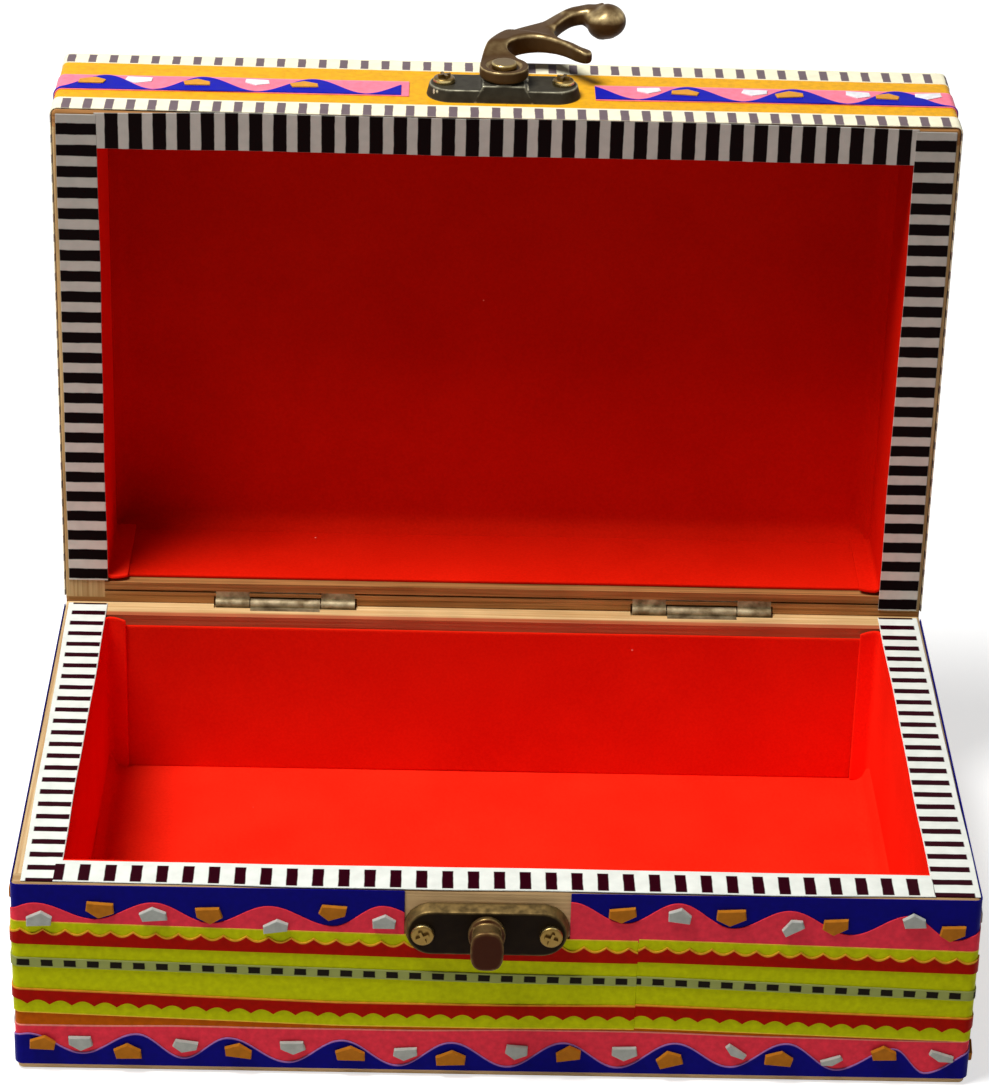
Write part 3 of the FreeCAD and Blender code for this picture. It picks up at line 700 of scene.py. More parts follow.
CHIP_OUTLINE = [(-2.15, -1.45), (2.2, -1.4), (2.35, 0.3), (0.25, 1.65), (-2.3, 0.4)]
CHIP_THICK, CHIP_EDGE = 0.65, 0.17  # a chip's thickness, and mm by which its edges are rounded
CHIP_CLEAR = 3.9  # a chip's middle keeps this far from a corner
bpy.ops.object.select_all(action="DESELECT")
bpy.ops.mesh.primitive_circle_add(vertices=len(CHIP_OUTLINE), fill_type="NGON")
chip = bpy.context.object
for vertex, corner in zip(chip.data.vertices, CHIP_OUTLINE):
    vertex.co = (*corner, 0)
bpy.ops.object.mode_set(mode="EDIT")
bpy.ops.mesh.select_all(action="SELECT")
bpy.ops.mesh.extrude_region_move(TRANSFORM_OT_translate={"value": (0, 0, CHIP_THICK)})
bpy.ops.mesh.bevel(offset=CHIP_EDGE, segments=1, material=1)
bpy.ops.mesh.select_all(action="SELECT")
bpy.ops.mesh.normals_make_consistent(inside=False)
bpy.ops.object.mode_set(mode="OBJECT")

ochre = cut_vinyl("ochre_chip_vinyl", "#B8701C", 0.45)
chalk = cut_vinyl("chalk_chip_vinyl", "#B2B4AC", 0.45)
ochre_edge = cut_vinyl("ochre_chip_edge", "#C09A68", 0.5)
chalk_edge = cut_vinyl("chalk_chip_edge", "#C8CAC4", 0.5)


def clear_of_corners(along):
    """Moves a place that is too near a corner so far that a chip lies flat."""
    run = from_front(along)
    corners = [side * (turn + BEND / 2) for side in (-1, 1) for turn in (FRONT_HALF, BACK_TURN)]
    corner = min(corners, key=lambda at: abs(run - at))
    return corner + math.copysign(CHIP_CLEAR, run - corner) if abs(run - corner) < CHIP_CLEAR else run


def beyond_front(places, up, turn):
    """Spots for chips round the sides and the back, a little lower on the hinge side."""
    clear = [clear_of_corners(along) for along in places if abs(from_front(along)) > FRONT_HALF + BEND]
    return [(along, up - CHIP_DOWN * float(at_back(along)), turn) for along in clear]


CATCH_GAP = -15.2, 12.2  # the upper band stops left and right of the catch
FOOT, HEAD = 1.3, 36.85  # the bands start and end here, above the table
TUCKED = 8.0  # the upper band starts so far above the ribbon's middle, under its edge
ORANGE_LOW, ORANGE_HIGH = 8.0, 13.5  # edges of the orange band that shows under the ribbon
upper_span = CATCH_GAP[1], ROUND + CATCH_GAP[0]
on_base = "base", "base_vinyl_wrap"
upper_right = [(12.2, 35.3), (21.3, 31.3), (30, 35.4), (39.2, 30.7), (48.4, 34.3), (58.8, 29.8)]
upper_right += [(68.3, 33.7), (76, 29.0)]
upper_left = [(-66.4, 30.4), (-56.7, 33.8), (-47.2, 30.0), (-37.6, 33.5), (-27, 29.8), (-18.9, 33.9)]
upper_left += [(-9, 30)]
upper_crests = np.linspace(85.5, ROUND - 76.2, 20)
upper_troughs = (upper_crests[1:] + upper_crests[:-1]) / 2
upper_wave = wavy(upper_right + even_waves(upper_crests, 33.4, 29.6) + a_lap_on(upper_left))


def upper_top(along):
    return HEAD - BAND_CUT * at_back(along)


low = raised(ribbon, TUCKED)
stick("base_blue_band", box_wall, marks(*upper_span, 4), low, upper_top, GLUE, on_base, blue_plain)
stick("base_pink_wave", box_wall, marks(*upper_span, 0.7), low, upper_wave, FILM, on_base, pink_plain)

lower_crests = np.linspace(82.5, ROUND - 78, 20)
lower_troughs = (lower_crests[1:] + lower_crests[:-1]) / 2
lower_round = even_waves(lower_crests, 7.6, 3.0)
lower_front = [(-69, 3.8), (-59.8, 7.8), (-52, 3.1), (-44.5, 7.3), (-34.5, 2.6), (-25.4, 7.2), (-16, 2.3)]
lower_front += [(-7, 7.1), (2.4, 2.4), (11.8, 7.4), (21, 2.6), (30.6, 7.7), (40, 3.1), (49.4, 8.0)]
lower_front += [(58, 2.9), (67.6, 7.3), (73, 2.5)]
lower_wave = wavy(lower_round + a_lap_on(lower_front + lower_round))
pink_heights = drawn([(-80, 9.2), (-26, 9.4), (20, 9.8), (80, 8.8)])
lower_span = ROUND / 2 - 30, ROUND * 1.5 - 30  # its seam is on the back


def pink_top(along):
    return pink_heights(from_front(along))


foot, pink_edge = level(FOOT), hand_laid(pink_top, BAND_WANDER)
coarse, close = marks(*lower_span, 4), marks(*lower_span, 0.7)
low, high = level(ORANGE_LOW), level(ORANGE_HIGH)
stick("base_orange_band", box_wall, coarse, low, high, GLUE, on_base, orange)
stick("base_pink_band", box_wall, coarse, foot, pink_edge, PAD, on_base, pink, pale_pink, SOFT_EDGE)
stick("base_blue_wave", box_wall, close, foot, lower_wave, PAD + FILM, on_base, blue, pale_lilac, SOFT_EDGE)
dashed_middle, lower_middle = summed(ribbon, drawn(dash_drift)), summed(ribbon, drawn(low_drift))
wall_ribbon("base", box_wall, on_base, ribbon, dashed_middle, lower_middle, upper_teeth, lower_teeth, 8)

spots = [(-65.4, 32.3, 180), (-47.4, 31.6, 180), (-27.1, 32.5, 180), (20.8, 33, 180), (38.8, 32.9, 180)]
spots += [(56.1, 31.4, 180), (75.6, 30.5, 185), *beyond_front(upper_troughs, 32.1, 180)]
set_chips("base_upper_ochre_chips", box_wall, ochre, ochre_edge, on_base, spots, FILM, 3)
spots = [(-75.5, 30.5, 0), (-56.7, 31.7, 0), (-36.5, 29.8, 0), (-18.6, 31, 0), (30.2, 33.2, 0)]
spots += [(49, 31.4, 25), (69, 32.9, 0), *beyond_front(upper_crests, 31.0, 0)]
set_chips("base_upper_chalk_chips", box_wall, chalk, chalk_edge, on_base, spots, 2 * FILM, 5, 0.88)
spots = [(-75.6, 5.9, 0), (-61.4, 4.4, 0), (-42.8, 4.9, 0), (-24, 4.7, 0), (-7.1, 4.1, 0), (12.7, 5.4, 0)]
spots += [(29.7, 4.6, 22), (48.2, 5.1, 0), (65.8, 6.5, 0), *beyond_front(lower_crests, 4.8, 0)]
set_chips("base_lower_ochre_chips", box_wall, ochre, ochre_edge, on_base, spots, 3 * FILM, 7)
spots = [(-69.2, 5.8, 180), (-51.7, 5.5, 180), (-33.6, 5.6, 180), (-14.7, 4.7, 180), (4, 5.4, 180)]
spots += [(22.2, 5.5, 180), (40.8, 6.1, 150, 0.6), (57.2, 4.6, 200, 0.6), (75.6, 5.8, 165, 0.6)]
spots += beyond_front(lower_troughs, 5.6, 180)
set_chips("base_lower_chalk_chips", box_wall, chalk, chalk_edge, on_base, spots, 2 * FILM, 9, 0.88)


# Wall strips of the lid: a film all round, its golden yellow painted light, with a striped tape along each
# edge.
# Between them a pink band with a blue wave, broken where the hook's plate is screwed on.
HOOK_GAP = -17.4, 15.8  # the pink band stops left and right of the hook's plate
BLUE_END = -18.8  # and the blue wave stops here on its left
YELLOW_LOW, YELLOW_HIGH = 4.8, 23.6  # the yellow film's edges, above the lid's rim
BAND_LOW, BAND_HIGH = 9.5, 16.7  # the pink band's edges
WAVE_FOOT, WAVE_LOW, WAVE_HIGH = 9.6, 9.9, 16.5  # the blue wave's lower edge, and its troughs and crests
CHIP_FLAT = 0.4  # the lid's chips are so much flatter than the base's
RIM_CUT = 3.1  # how much higher the rim's tape starts on the hinge side
on_lid = "lid", "lid_vinyl_wrap"
# Painted light: the lid's front faces the lamp, and its films, chips and wall tapes are painted as paler,
# lit copies of the base's: the yellow film is the base's orange, then a paler pink, a brighter blue, paler
# ochre and white chips, and tapes with grey-brown bars on a cream white.
yellow = cut_vinyl("golden_yellow_vinyl_painted_lit", "#EAAA20")
wall_ink_painted_lit = "#75656A", "#FFF8D8"
lid_pink_painted_lit = cut_vinyl("pale_pink_vinyl_painted_lit", "#FF8298", core_and_highlight="#FF9CB0")
lid_blue_painted_lit = cut_vinyl("bright_blue_vinyl_painted_lit", "#0A10A6", core_and_highlight="#B060B8")
lid_ochre_painted_lit = cut_vinyl("pale_ochre_chip_vinyl_painted_lit", "#DC9838", 0.45)
lid_chalk_painted_lit = cut_vinyl("white_chip_vinyl_painted_lit", "#ECEAEC", 0.45)
rim_wall_tape = striped_tape("striped_tape_lid_wall_rim", 3.782, 1.82, 0.40, (0, 0.12), *wall_ink_painted_lit)
top_wall_tape = striped_tape("striped_tape_lid_wall_top", 3.784, 0.84, 0.38, (0.03, 0.12), *wall_ink_painted_lit)
lid_right_crests, lid_left_crests = [14, 32.5, 51.5], [-54.2, -34.6, -15.5]
lid_crests = [*lid_right_crests, *np.linspace(69.9, ROUND - 71.5, 21), *(ROUND + np.array(lid_left_crests))]
lid_troughs = (np.array(lid_crests[1:]) + lid_crests[:-1]) / 2
lid_span = HOOK_GAP[1], ROUND + HOOK_GAP[0]


def round_edge(*heights):
    """An edge all round the lid. Its heights stand evenly along the front, from the left end to the right
    end; round the sides and the back it settles to one height, where its two ends meet."""
    joined = (heights[0] + heights[-1]) / 2
    places = [-ROUND / 2, *np.linspace(-HALF_WIDTH, HALF_WIDTH, len(heights)), ROUND / 2]
    return lambda along: np.interp(from_front(along), places, [joined, *heights, joined])


def tape_foot(along):
    return round_edge(0.4, -0.2, -0.2, 0.1)(along) + RIM_CUT * at_back(along)


tape_head = round_edge(5.6, 5.0)
low, high = level(YELLOW_LOW), level(YELLOW_HIGH)
stick("lid_yellow_film", lid_wall, marks(0, ROUND, 5), low, high, GLUE, on_lid, yellow, pale_yellow)
low, high = (hand_laid(level(edge), BAND_WANDER) for edge in (BAND_LOW, BAND_HIGH))
stick("lid_pink_band", lid_wall, marks(*lid_span, 4), low, high, GLUE + FILM, on_lid, lid_pink_painted_lit)
blue_span = marks(HOOK_GAP[1], ROUND + BLUE_END, 0.7)
lid_wave = wavy(even_waves(lid_crests, WAVE_HIGH, WAVE_LOW))
stick("lid_blue_wave", lid_wall, blue_span, level(WAVE_FOOT), lid_wave, 2 * FILM, on_lid, lid_blue_painted_lit)
wall_run = marks(-ROUND / 2, ROUND / 2, 4)
as_tape = {"edge": paper_edge, "thick": TAPE}
stick("lid_rim_wall_tape", lid_wall, wall_run, tape_foot, tape_head, PAD, on_lid, rim_wall_tape, **as_tape)
low, high = round_edge(23.2, 21.3), round_edge(27.7, 27.6, 26.8)
stick("lid_top_wall_tape", lid_wall, wall_run, low, high, PAD, on_lid, top_wall_tape, **as_tape)
spots = [(along, 13.2, 0) for along in (-73.9, -55.3, -36.2, 31.9, 50.5, 68.1)]
spots += beyond_front(lid_crests, 13.2, 0)
set_chips("lid_ochre_chips", lid_wall, lid_ochre_painted_lit, lid_ochre_painted_lit, on_lid, spots, 3 * FILM, 11, thick=CHIP_FLAT)
spots = [(along, 14.2, 180) for along in (-65.7, -44.5, 25.5, 44.4, 63, 75.6)]
spots += beyond_front(lid_troughs, 14.2, 180)
set_chips("lid_chalk_chips", lid_wall, lid_chalk_painted_lit, lid_chalk_painted_lit, on_lid, spots, 2 * FILM, 13, thick=CHIP_FLAT)


# Top of the lid: the same films in lengthwise bands, mirrored about a blue middle, framed by striped tape.
# Nothing of it shows from the front, so its bands repeat those of the walls.
TOP_HALF_LENGTH, TOP_HALF_WIDTH = 78.3, 48.3  # half sizes of what is covered
TAPE_WIDTH = 6.0  # width of the striped frame
LID_HEIGHT = 28.0  # from the lid's rim to its top
LID_TOP = LID_RIM + LID_HEIGHT
MIDDLE_HALF = 12.0  # half the width of the blue middle
INNER_TURNS, INNER_END = (11.5, 7.5), 13.0  # crests and troughs of the pink wave along it, and its far edge
RIBBON_AT, RIBBON_TEETH = 21.9, 42  # the ribbon's middle, and how many teeth it has along the lid
PINK_FROM, PINK_TO = 30.5, 40.0  # edges of the pink band
OUTER_TURNS = 37.4, 32.6  # crests and troughs of the blue wave on it
on_top = "lid", "lid_top_vinyl"


def on_lid_top(side):
    """How a band lies on the lid's top: along it, up towards that side, and lifted off the wood."""

    def place(along, up, lift):
        ways = {"front": (-along, -up), "back": (along, up), "right": (up, -along), "left": (-up, along)}
        return opened(np.stack([*ways[side], LID_TOP + lift], axis=1))

    return place


length = np.arange(-TOP_HALF_LENGTH, TOP_HALF_LENGTH + 0.1, 0.72)
few = length[::6]
top_crests = np.linspace(-81, 81, 10)
top_back = on_lid_top("back")
low, high = level(-TOP_HALF_WIDTH), level(TOP_HALF_WIDTH)
stick("top_yellow_film", top_back, few, low, high, GLUE, on_top, yellow, pale_yellow)
low, high = level(-MIDDLE_HALF), level(MIDDLE_HALF)
stick("top_blue_middle", top_back, few, low, high, FILM, on_top, blue, pale_lilac)
inner_wave, outer_wave = (wavy(even_waves(top_crests, *turns)) for turns in (INNER_TURNS, OUTER_TURNS))
top_teeth = [(-TOP_HALF_LENGTH, 0), (TOP_HALF_LENGTH, RIBBON_TEETH)]
for half in ("front", "back"):
    place = on_lid_top(half)
    end = level(INNER_END)
    stick(f"top_{half}_inner_wave", place, length, inner_wave, end, 2 * FILM, on_top, pink, pale_pink)
    low, high = level(PINK_FROM), level(PINK_TO)
    stick(f"top_{half}_pink_band", place, few, low, high, FILM, on_top, lid_pink_painted_lit)
    stick(f"top_{half}_blue_wave", place, length, low, outer_wave, 2 * FILM, on_top, blue, pale_lilac)
    lines = [level(RIBBON_AT)] * 3
    wall_ribbon(f"top_{half}", place, on_top, *lines, top_teeth, top_teeth, 4)
    spots = [(along, 34.4, 0) for along in top_crests[1:-1]]
    set_chips(f"top_{half}_ochre_chips", place, ochre, ochre_edge, on_top, spots, 3 * FILM, 17)
    chalk_spots = [(along, 36.2, 180) for along in top_crests[1:-2] + 9]
    set_chips(f"top_{half}_chalk_chips", place, chalk, chalk_edge, on_top, chalk_spots, 2 * FILM, 19)
    low, high = level(TOP_HALF_WIDTH - TAPE_WIDTH), level(TOP_HALF_WIDTH)
    stick(f"top_{half}_tape", place, few, low, high, 3 * FILM, on_top, rim_wall_tape, **as_tape)
for half in ("left", "right"):
    ends = np.linspace(-TOP_HALF_WIDTH + TAPE_WIDTH, TOP_HALF_WIDTH - TAPE_WIDTH, 24)
    low, high = level(TOP_HALF_LENGTH - TAPE_WIDTH), level(TOP_HALF_LENGTH)
    stick(f"top_{half}_tape", on_lid_top(half), ends, low, high, 4 * FILM, on_top, rim_wall_tape, **as_tape)
bpy.data.objects.remove(chip)


# Catch: a die-cast plate with rounded ends, held by two cross-head screws, and a post riveted through it.
# Antique brass plating, rubbed back to brass along every edge; the plate's face and the post's end look to
# the front and are painted dark as shade.
CATCH_LOW, CATCH_HIGH = (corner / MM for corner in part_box("catch_plate"))
CATCH_MIDDLE = (CATCH_LOW + CATCH_HIGH) / 2
PLATE_LENGTH, PLATE_WIDTH = CATCH_HIGH.x - CATCH_LOW.x, CATCH_HIGH.z - CATCH_LOW.z
CATCH_THICK = CATCH_HIGH.y - CATCH_LOW.y
SCREW_SPREAD = 10.6  # each screw's distance from the plate's middle
DRAFT = 0.6  # how much narrower a plate is at its face
GRAIN_OF_CAST = 0.17  # spacing of the points on a casting's skin
SCREW_ROUND, SCREW_EDGE = 1.95, 0.45  # a screw head's radius, and how far its edge is rounded
SCREW_SUNK, SCREW_HIGH = 0.3, 1.0  # how deep it sits in its plate, and how high it stands above it
CROSS_SLOT = 2.3, 0.5, 1.1  # size of the block that cuts one bar of a screw's cross
POST_COLLAR = 3.1, 3.5, 1.6, 3.2  # half width, half height, and from where to where it stands out
POST_NECK = 2.3, 2.7, 1.6, 7.2, 2.6  # the same, and how square it is
POST_HEAD = 2.75, 3.7, 6.8, 7.8, 3.0


def antique_brass(name, patina_and_shade, brass, dull, face=None, ridge_highlight=False, clean=False):
    """Antique brass plate: brown-black patina in the hollows, rubbed brass where edges stand out.
    Given a face, the dark colour is painted on that face and brass down its flanks; on the catch and its
    post that face looks to the front, its dark is painted shade, and the brass flanks are partly painted
    light.
    With a ridge highlight, brass is painted only where the face rounds over into its flanks: partly rubbed
    wear, partly a painted highlight. A clean piece has no crust and is metal all over."""
    finish = new_finish(name)
    tree = finish.node_tree
    place = add_node(tree, "TexCoord").outputs["Object"]
    cloud = add_node(tree, "TexNoise", {"Vector": place, "Scale": 1 / (1.4 * MM), "Detail": 6.0})
    sharp = add_node(tree, "NewGeometry").outputs["Pointiness"]
    proud = add_node(tree, "MapRange", {"Value": sharp, "From Min": 0.505, "From Max": 0.56})
    patchy = add_node(tree, "MapRange", {"Value": cloud, "From Min": 0.35, "From Max": 0.7, "To Min": 0.35})
    rubbed = add_node(tree, "Math", {0: proud, 1: patchy}, operation="MULTIPLY")
    if face:
        normal = add_node(tree, "TexCoord").outputs["Normal"]
        facing = add_node(tree, "VectorMath", {0: normal, 1: face}, operation="DOT_PRODUCT")
        flank_wear_and_light = add_node(tree, "MapRange", {"Value": facing, "From Min": 0.97, "From Max": 0.55})
        worn = add_node(tree, "Math", {0: flank_wear_and_light, 1: patchy}, operation="MULTIPLY")
        # Painted highlight: brass only along the band where the face rounds over into the flanks.
        if ridge_highlight:
            above = add_node(tree, "MapRange", {"Value": facing, "From Min": 0.1, "From Max": 0.6})
            rubbed = add_node(tree, "Math", {0: worn, 1: above}, operation="MULTIPLY")
        else:
            rubbed = add_node(tree, "Math", {0: rubbed, 1: worn}, operation="MAXIMUM")
    hazy = {0: cloud, 1: 0.05, 2: rubbed}
    haze = add_node(tree, "Math", hazy, operation="MULTIPLY_ADD", use_clamp=True)
    metal = add_node(tree, "Mix", {0: haze, 6: linear(patina_and_shade), 7: linear(brass)}, data_type="RGBA")
    rough = add_node(tree, "MapRange", {"Value": rubbed, "To Min": dull, "To Max": dull - 0.14})
    bump = add_node(tree, "Bump", {"Height": cloud, "Strength": 0.2, "Distance": 0.15 * MM})
    inputs = {"Base Color": metal, "Roughness": rough, "Normal": bump}
    inputs.update({"Metallic": 1.0 if clean else haze, "Specular IOR Level": 0.04})
    shader = add_node(tree, "BsdfPrincipled", inputs)
    add_node(tree, "OutputMaterial", {"Surface": shader})
    return finish


def drum(half_wide, half_tall, low, high, square=2.0, sides=48):
    """An oval block standing on the plate, in mm: a rough form for a casting. It is squarer above two."""
    bpy.ops.object.select_all(action="DESELECT")
    bpy.ops.mesh.primitive_cylinder_add(vertices=sides, depth=high - low, location=(0, 0, (low + high) / 2))
    bpy.ops.object.transform_apply(location=True, rotation=True, scale=True)
    block = bpy.context.object
    for vertex in block.data.vertices:
        x, y = vertex.co.xy
        swell = (abs(x) ** square + abs(y) ** square) ** (-1 / square) if x or y else 1
        vertex.co.xy = half_wide * swell * x, half_tall * swell * y
    return block


def long_drum(length, width, low, high, draft):
    """The same with straight sides between two round ends, narrower at the top by the draft all round."""
    block = drum(width / 2, width / 2, low, high)
    for vertex in block.data.vertices:
        if vertex.co.z > (low + high) / 2:
            vertex.co.xy *= 1 - 2 * draft / width
        vertex.co.x += math.copysign((length - width) / 2, vertex.co.x)
    return block


def cast(name, forms, passes):
    """Joins rough forms into one casting: an even skin over them all, its edges worn round."""
    bpy.ops.object.select_all(action="DESELECT")
    for form in forms:
        form.select_set(True)
    bpy.context.view_layer.objects.active = forms[0]
    bpy.ops.object.join()
    piece = bpy.context.object
    piece.name = piece.data.name = name
    skin = piece.modifiers.new("skin", "REMESH")
    skin.mode, skin.voxel_size = "VOXEL", GRAIN_OF_CAST
    worn = piece.modifiers.new("worn", "SMOOTH")
    worn.factor, worn.iterations = 0.5, passes
    bpy.ops.object.modifier_apply(modifier="skin")
    bpy.ops.object.modifier_apply(modifier="worn")
    bpy.ops.object.shade_smooth()
    return piece


def set_on(piece, place):
    """Puts a piece that was made flat, in mm, in its place on the box."""
    flat = np.array([vertex.co[:] for vertex in piece.data.vertices])
    piece.data.vertices.foreach_set("co", (place(*flat.T) * MM).ravel())
    piece.data.update()
    return piece


def on_catch(right, up, out):
    return np.stack([CATCH_MIDDLE.x + right, CATCH_HIGH.y - out, CATCH_MIDDLE.z + up], axis=1)


def cross_screws(name, seat, place):
    """Two pan-head screws, each modelled as a rounded head with a cross sunk in it."""
    heads = []
    for side, turn in ((-1, 25), (1, 70)):
        head = drum(SCREW_ROUND, SCREW_ROUND, seat - SCREW_SUNK, seat + SCREW_HIGH, sides=40)
        bpy.ops.object.mode_set(mode="EDIT")
        bpy.ops.mesh.select_all(action="SELECT")
        bpy.ops.mesh.bevel(offset=SCREW_EDGE, segments=4)
        bpy.ops.object.mode_set(mode="OBJECT")
        for angle in (turn, turn + 90):
            bpy.ops.object.select_all(action="DESELECT")
            where = {"location": (0, 0, seat + SCREW_HIGH), "rotation": (0, 0, math.radians(angle))}
            bpy.ops.mesh.primitive_cube_add(size=1, scale=CROSS_SLOT, **where)
            slot = bpy.context.object
            head.select_set(True)
            bpy.context.view_layer.objects.active = head
            sunk = head.modifiers.new("sunk", "BOOLEAN")
            sunk.object, sunk.operation, sunk.solver = slot, "DIFFERENCE", "EXACT"
            bpy.ops.object.modifier_apply(modifier="sunk")
            bpy.data.objects.remove(slot)
        for vertex in head.data.vertices:
            vertex.co.x += side * SCREW_SPREAD
        heads.append(head)
    bpy.ops.object.select_all(action="DESELECT")
    for head in heads:
        head.select_set(True)
    bpy.context.view_layer.objects.active = heads[0]
    bpy.ops.object.join()
    pair = bpy.context.object
    pair.name = pair.data.name = name
    bpy.ops.object.shade_smooth_by_angle(angle=math.radians(35))
    return set_on(pair, place)


# Painted shade: the catch plate's face and the post's end, which look to the front, are painted near-black
# and dark maroon-brown; their flanks are painted rubbed brass, partly wear and partly the light on their
# tops.
catch_brass = antique_brass("antique_brass_catch", "#0D0402", "#80693F", 0.6, (0, -1, 0))
worn_brass = antique_brass("antique_brass_worn", "#6C5428", "#E6D090", 0.34, clean=True)
post_brass = antique_brass("antique_brass_post", "#3E180B", "#7E683F", 0.5, (0, -1, 0))
plate_form = long_drum(PLATE_LENGTH, PLATE_WIDTH, 0, CATCH_THICK, DRAFT)
plate = set_on(cast("catch_plate_casting", [plate_form], passes=6), on_catch)
finished(plate, "base", "catch_plate", "antique_brass", catch_brass)
post_forms = [drum(*form) for form in (POST_COLLAR, POST_NECK, POST_HEAD)]
post = set_on(cast("catch_post_casting", post_forms, passes=16), on_catch)
finished(post, "base", "catch_post", "antique_brass", post_brass)
screws = cross_screws("catch_screw_heads", CATCH_THICK, on_catch)
finished(screws, "base", "catch_plate_screws", "antique_brass", worn_brass)


# Hook: a cast swan-necked hook that turns on a rivet, over a plate of the same outline as the catch's.
# The plate's middle is raised to a round boss; the rivet's flat head is rubbed bright.
PIVOT = [value / MM for value in frame["joints"][1]["pos_m"]]
EAR, SHOULDER, BOSS = 2.4, 3.3, 3.55  # heights of the plate's ears, raised middle and boss
SADDLE_LENGTH, SADDLE_TAPER = 11.0, 0.68  # the raised middle's length at its foot, and how it narrows
BOSS_ROUND = 4.0  # radius of the boss
RIVET_LOW, RIVET_HIGH, RIVET_ROUND = 5.35, 6.4, 2.3  # the rivet head's heights and its radius
RIVET_SHANK = 1.5, 1.5, 2.0, 6.2  # its shank: half widths, and from where to where it stands out
RING_LOW, RING_TOP = 3.6, 5.8  # heights of the hook's ring as cast
RING_WORN, RING_LIP = 5.3, 0.5  # its height when it is finished, and how much its lip stands above that
LIP_ROUND, LIP_THICK, LIP_SUNK = 3.75, 0.5, 0.05  # radius of the lip and of its bead, and how deep that lies
SOLID_UNDER, CAST_UNDER = 4.1, 3.7  # height of the arm's underside in the solid and as cast
SWELL = 0.22  # the arm stands out by so much more than the solid that it is cast from
ARCH, JAW_FROM = 0.6, 15.8  # the arm arches up by so much before its jaw
POST_AT = 13.0, 13.9  # where the catch's post comes into the jaw
LEVER_DIP = 0.45  # the lever's top lies lower by so much behind the knob
THIN = 1.1  # the jaw is thinner than the ring by so much, off its underside
# The lever: places along it in mm, each with its height and its half thickness.
LEVER_LINE = [(11.6, 21.6, 7.7, 0.9), (13.2, 22.9, 7.8, 1.1), (14.8, 23.3, 7.8, 1.45)]
LEVER_LINE += [(17.0, 21.6, 7.5, 2.2)]
BEADS = 16  # it is cast from so many round beads
KNOB_AT, KNOB_SQUASH = 7.2, 0.86  # the thumb knob's height, and how much flatter than a ball it is


def eased(value, start, end):
    """A share that goes softly from nought, where the value is at its start, to one at its end."""
    share = np.clip((value - start) / (end - start), 0, 1)
    return share * share * (3 - 2 * share)


def on_hook_plate(right, up, out):
    return np.stack([PIVOT[0] + right, PIVOT[1] + up, PIVOT[2] + out], axis=1)


bpy.ops.object.select_all(action="DESELECT")
saddle_size = SADDLE_LENGTH, PLATE_WIDTH, SHOULDER
bpy.ops.mesh.primitive_cube_add(size=1, location=(0, 0, SHOULDER / 2), scale=saddle_size)
bpy.ops.object.transform_apply(location=True, rotation=True, scale=True)
saddle = bpy.context.object
for vertex in saddle.data.vertices:
    if vertex.co.z > SHOULDER / 2:
        vertex.co.xy = vertex.co.x * SADDLE_TAPER, vertex.co.y * (1 - 2 * DRAFT / PLATE_WIDTH)
ears, boss = long_drum(PLATE_LENGTH, PLATE_WIDTH, 0, EAR, DRAFT), drum(BOSS_ROUND, BOSS_ROUND, 0, BOSS)
plate = set_on(cast("hook_plate_casting", [ears, saddle, boss], passes=6), on_hook_plate)
hook_plate_brass = antique_brass("antique_brass_hook_plate", "#241F18", "#E0DABC", 0.46)
finished(plate, "lid", "hook_plate", "antique_brass", hook_plate_brass)
screws = cross_screws("hook_screw_heads", EAR, on_hook_plate)
finished(screws, "lid", "hook_plate_screws", "antique_brass", worn_brass)
rivet_forms = [drum(RIVET_ROUND, RIVET_ROUND, RIVET_LOW, RIVET_HIGH), drum(*RIVET_SHANK)]
rivet = set_on(cast("hook_rivet_head", rivet_forms, passes=8), on_hook_plate)
finished(rivet, "lid", "hook_rivet", "antique_brass", worn_brass)

hook = bpy.data.objects.new("swan_hook", frame["nodes"]["swing_hook"].data.copy())
bpy.context.collection.objects.link(hook)
hook.data.materials.clear()
for vertex in hook.data.vertices:
    vertex.co = vertex.co / MM - Vector(PIVOT)
    if abs(vertex.co.z - SOLID_UNDER) < 0.05:
        vertex.co.z = CAST_UNDER
bpy.ops.object.select_all(action="DESELECT")
hook.select_set(True)
bpy.context.view_layer.objects.active = hook
bpy.ops.object.mode_set(mode="EDIT")
bpy.ops.mesh.select_all(action="SELECT")
bpy.ops.mesh.remove_doubles(threshold=0.005)
bpy.ops.object.mode_set(mode="OBJECT")
bpy.ops.object.select_all(action="DESELECT")
lip_at = 0, 0, RING_TOP - LIP_SUNK
bpy.ops.mesh.primitive_torus_add(major_radius=LIP_ROUND, minor_radius=LIP_THICK, location=lip_at)
forms = [hook, bpy.context.object]
steps = range(len(LEVER_LINE))
beads = [np.interp(np.linspace(0, steps[-1], BEADS), steps, column) for column in zip(*LEVER_LINE)]
for right, up, out, thick in zip(*beads):
    bpy.ops.object.select_all(action="DESELECT")
    bpy.ops.mesh.primitive_uv_sphere_add(segments=24, ring_count=16, radius=thick, location=(right, up, out))
    bpy.ops.object.transform_apply(location=True, rotation=True, scale=True)
    forms.append(bpy.context.object)
hook = cast("swan_hook", forms, passes=60)
points = np.array([vertex.co[:] for vertex in hook.data.vertices])
outward = np.array([vertex.normal[:] for vertex in hook.data.vertices])
x, y, high = points.T
far = np.hypot(x, y)
past_ring = eased(far, 3.8, 9.3)  # nought on the ring, one along the arm
high = np.where(high > RING_TOP, RING_TOP + (high - RING_TOP) * past_ring, high)
worn = RING_LOW + (high - RING_LOW) * (RING_WORN - RING_LOW) / (RING_TOP - RING_LOW)
worn += RING_LIP * eased(far, 2.7, 3.4) * eased(high, 4.6, 5.4)  # the lip, on the ring's face
arched = high + ARCH * eased(far, JAW_FROM, JAW_FROM - 2) * eased(high, RING_LOW, RING_LOW + 2)
arched -= LEVER_DIP * eased(x, 11, 15) * eased(x, 19, 17) * eased(y, 17, 19)  # along the lever
on_knob = eased(x, 15, 17) * eased(y, 14, 16)
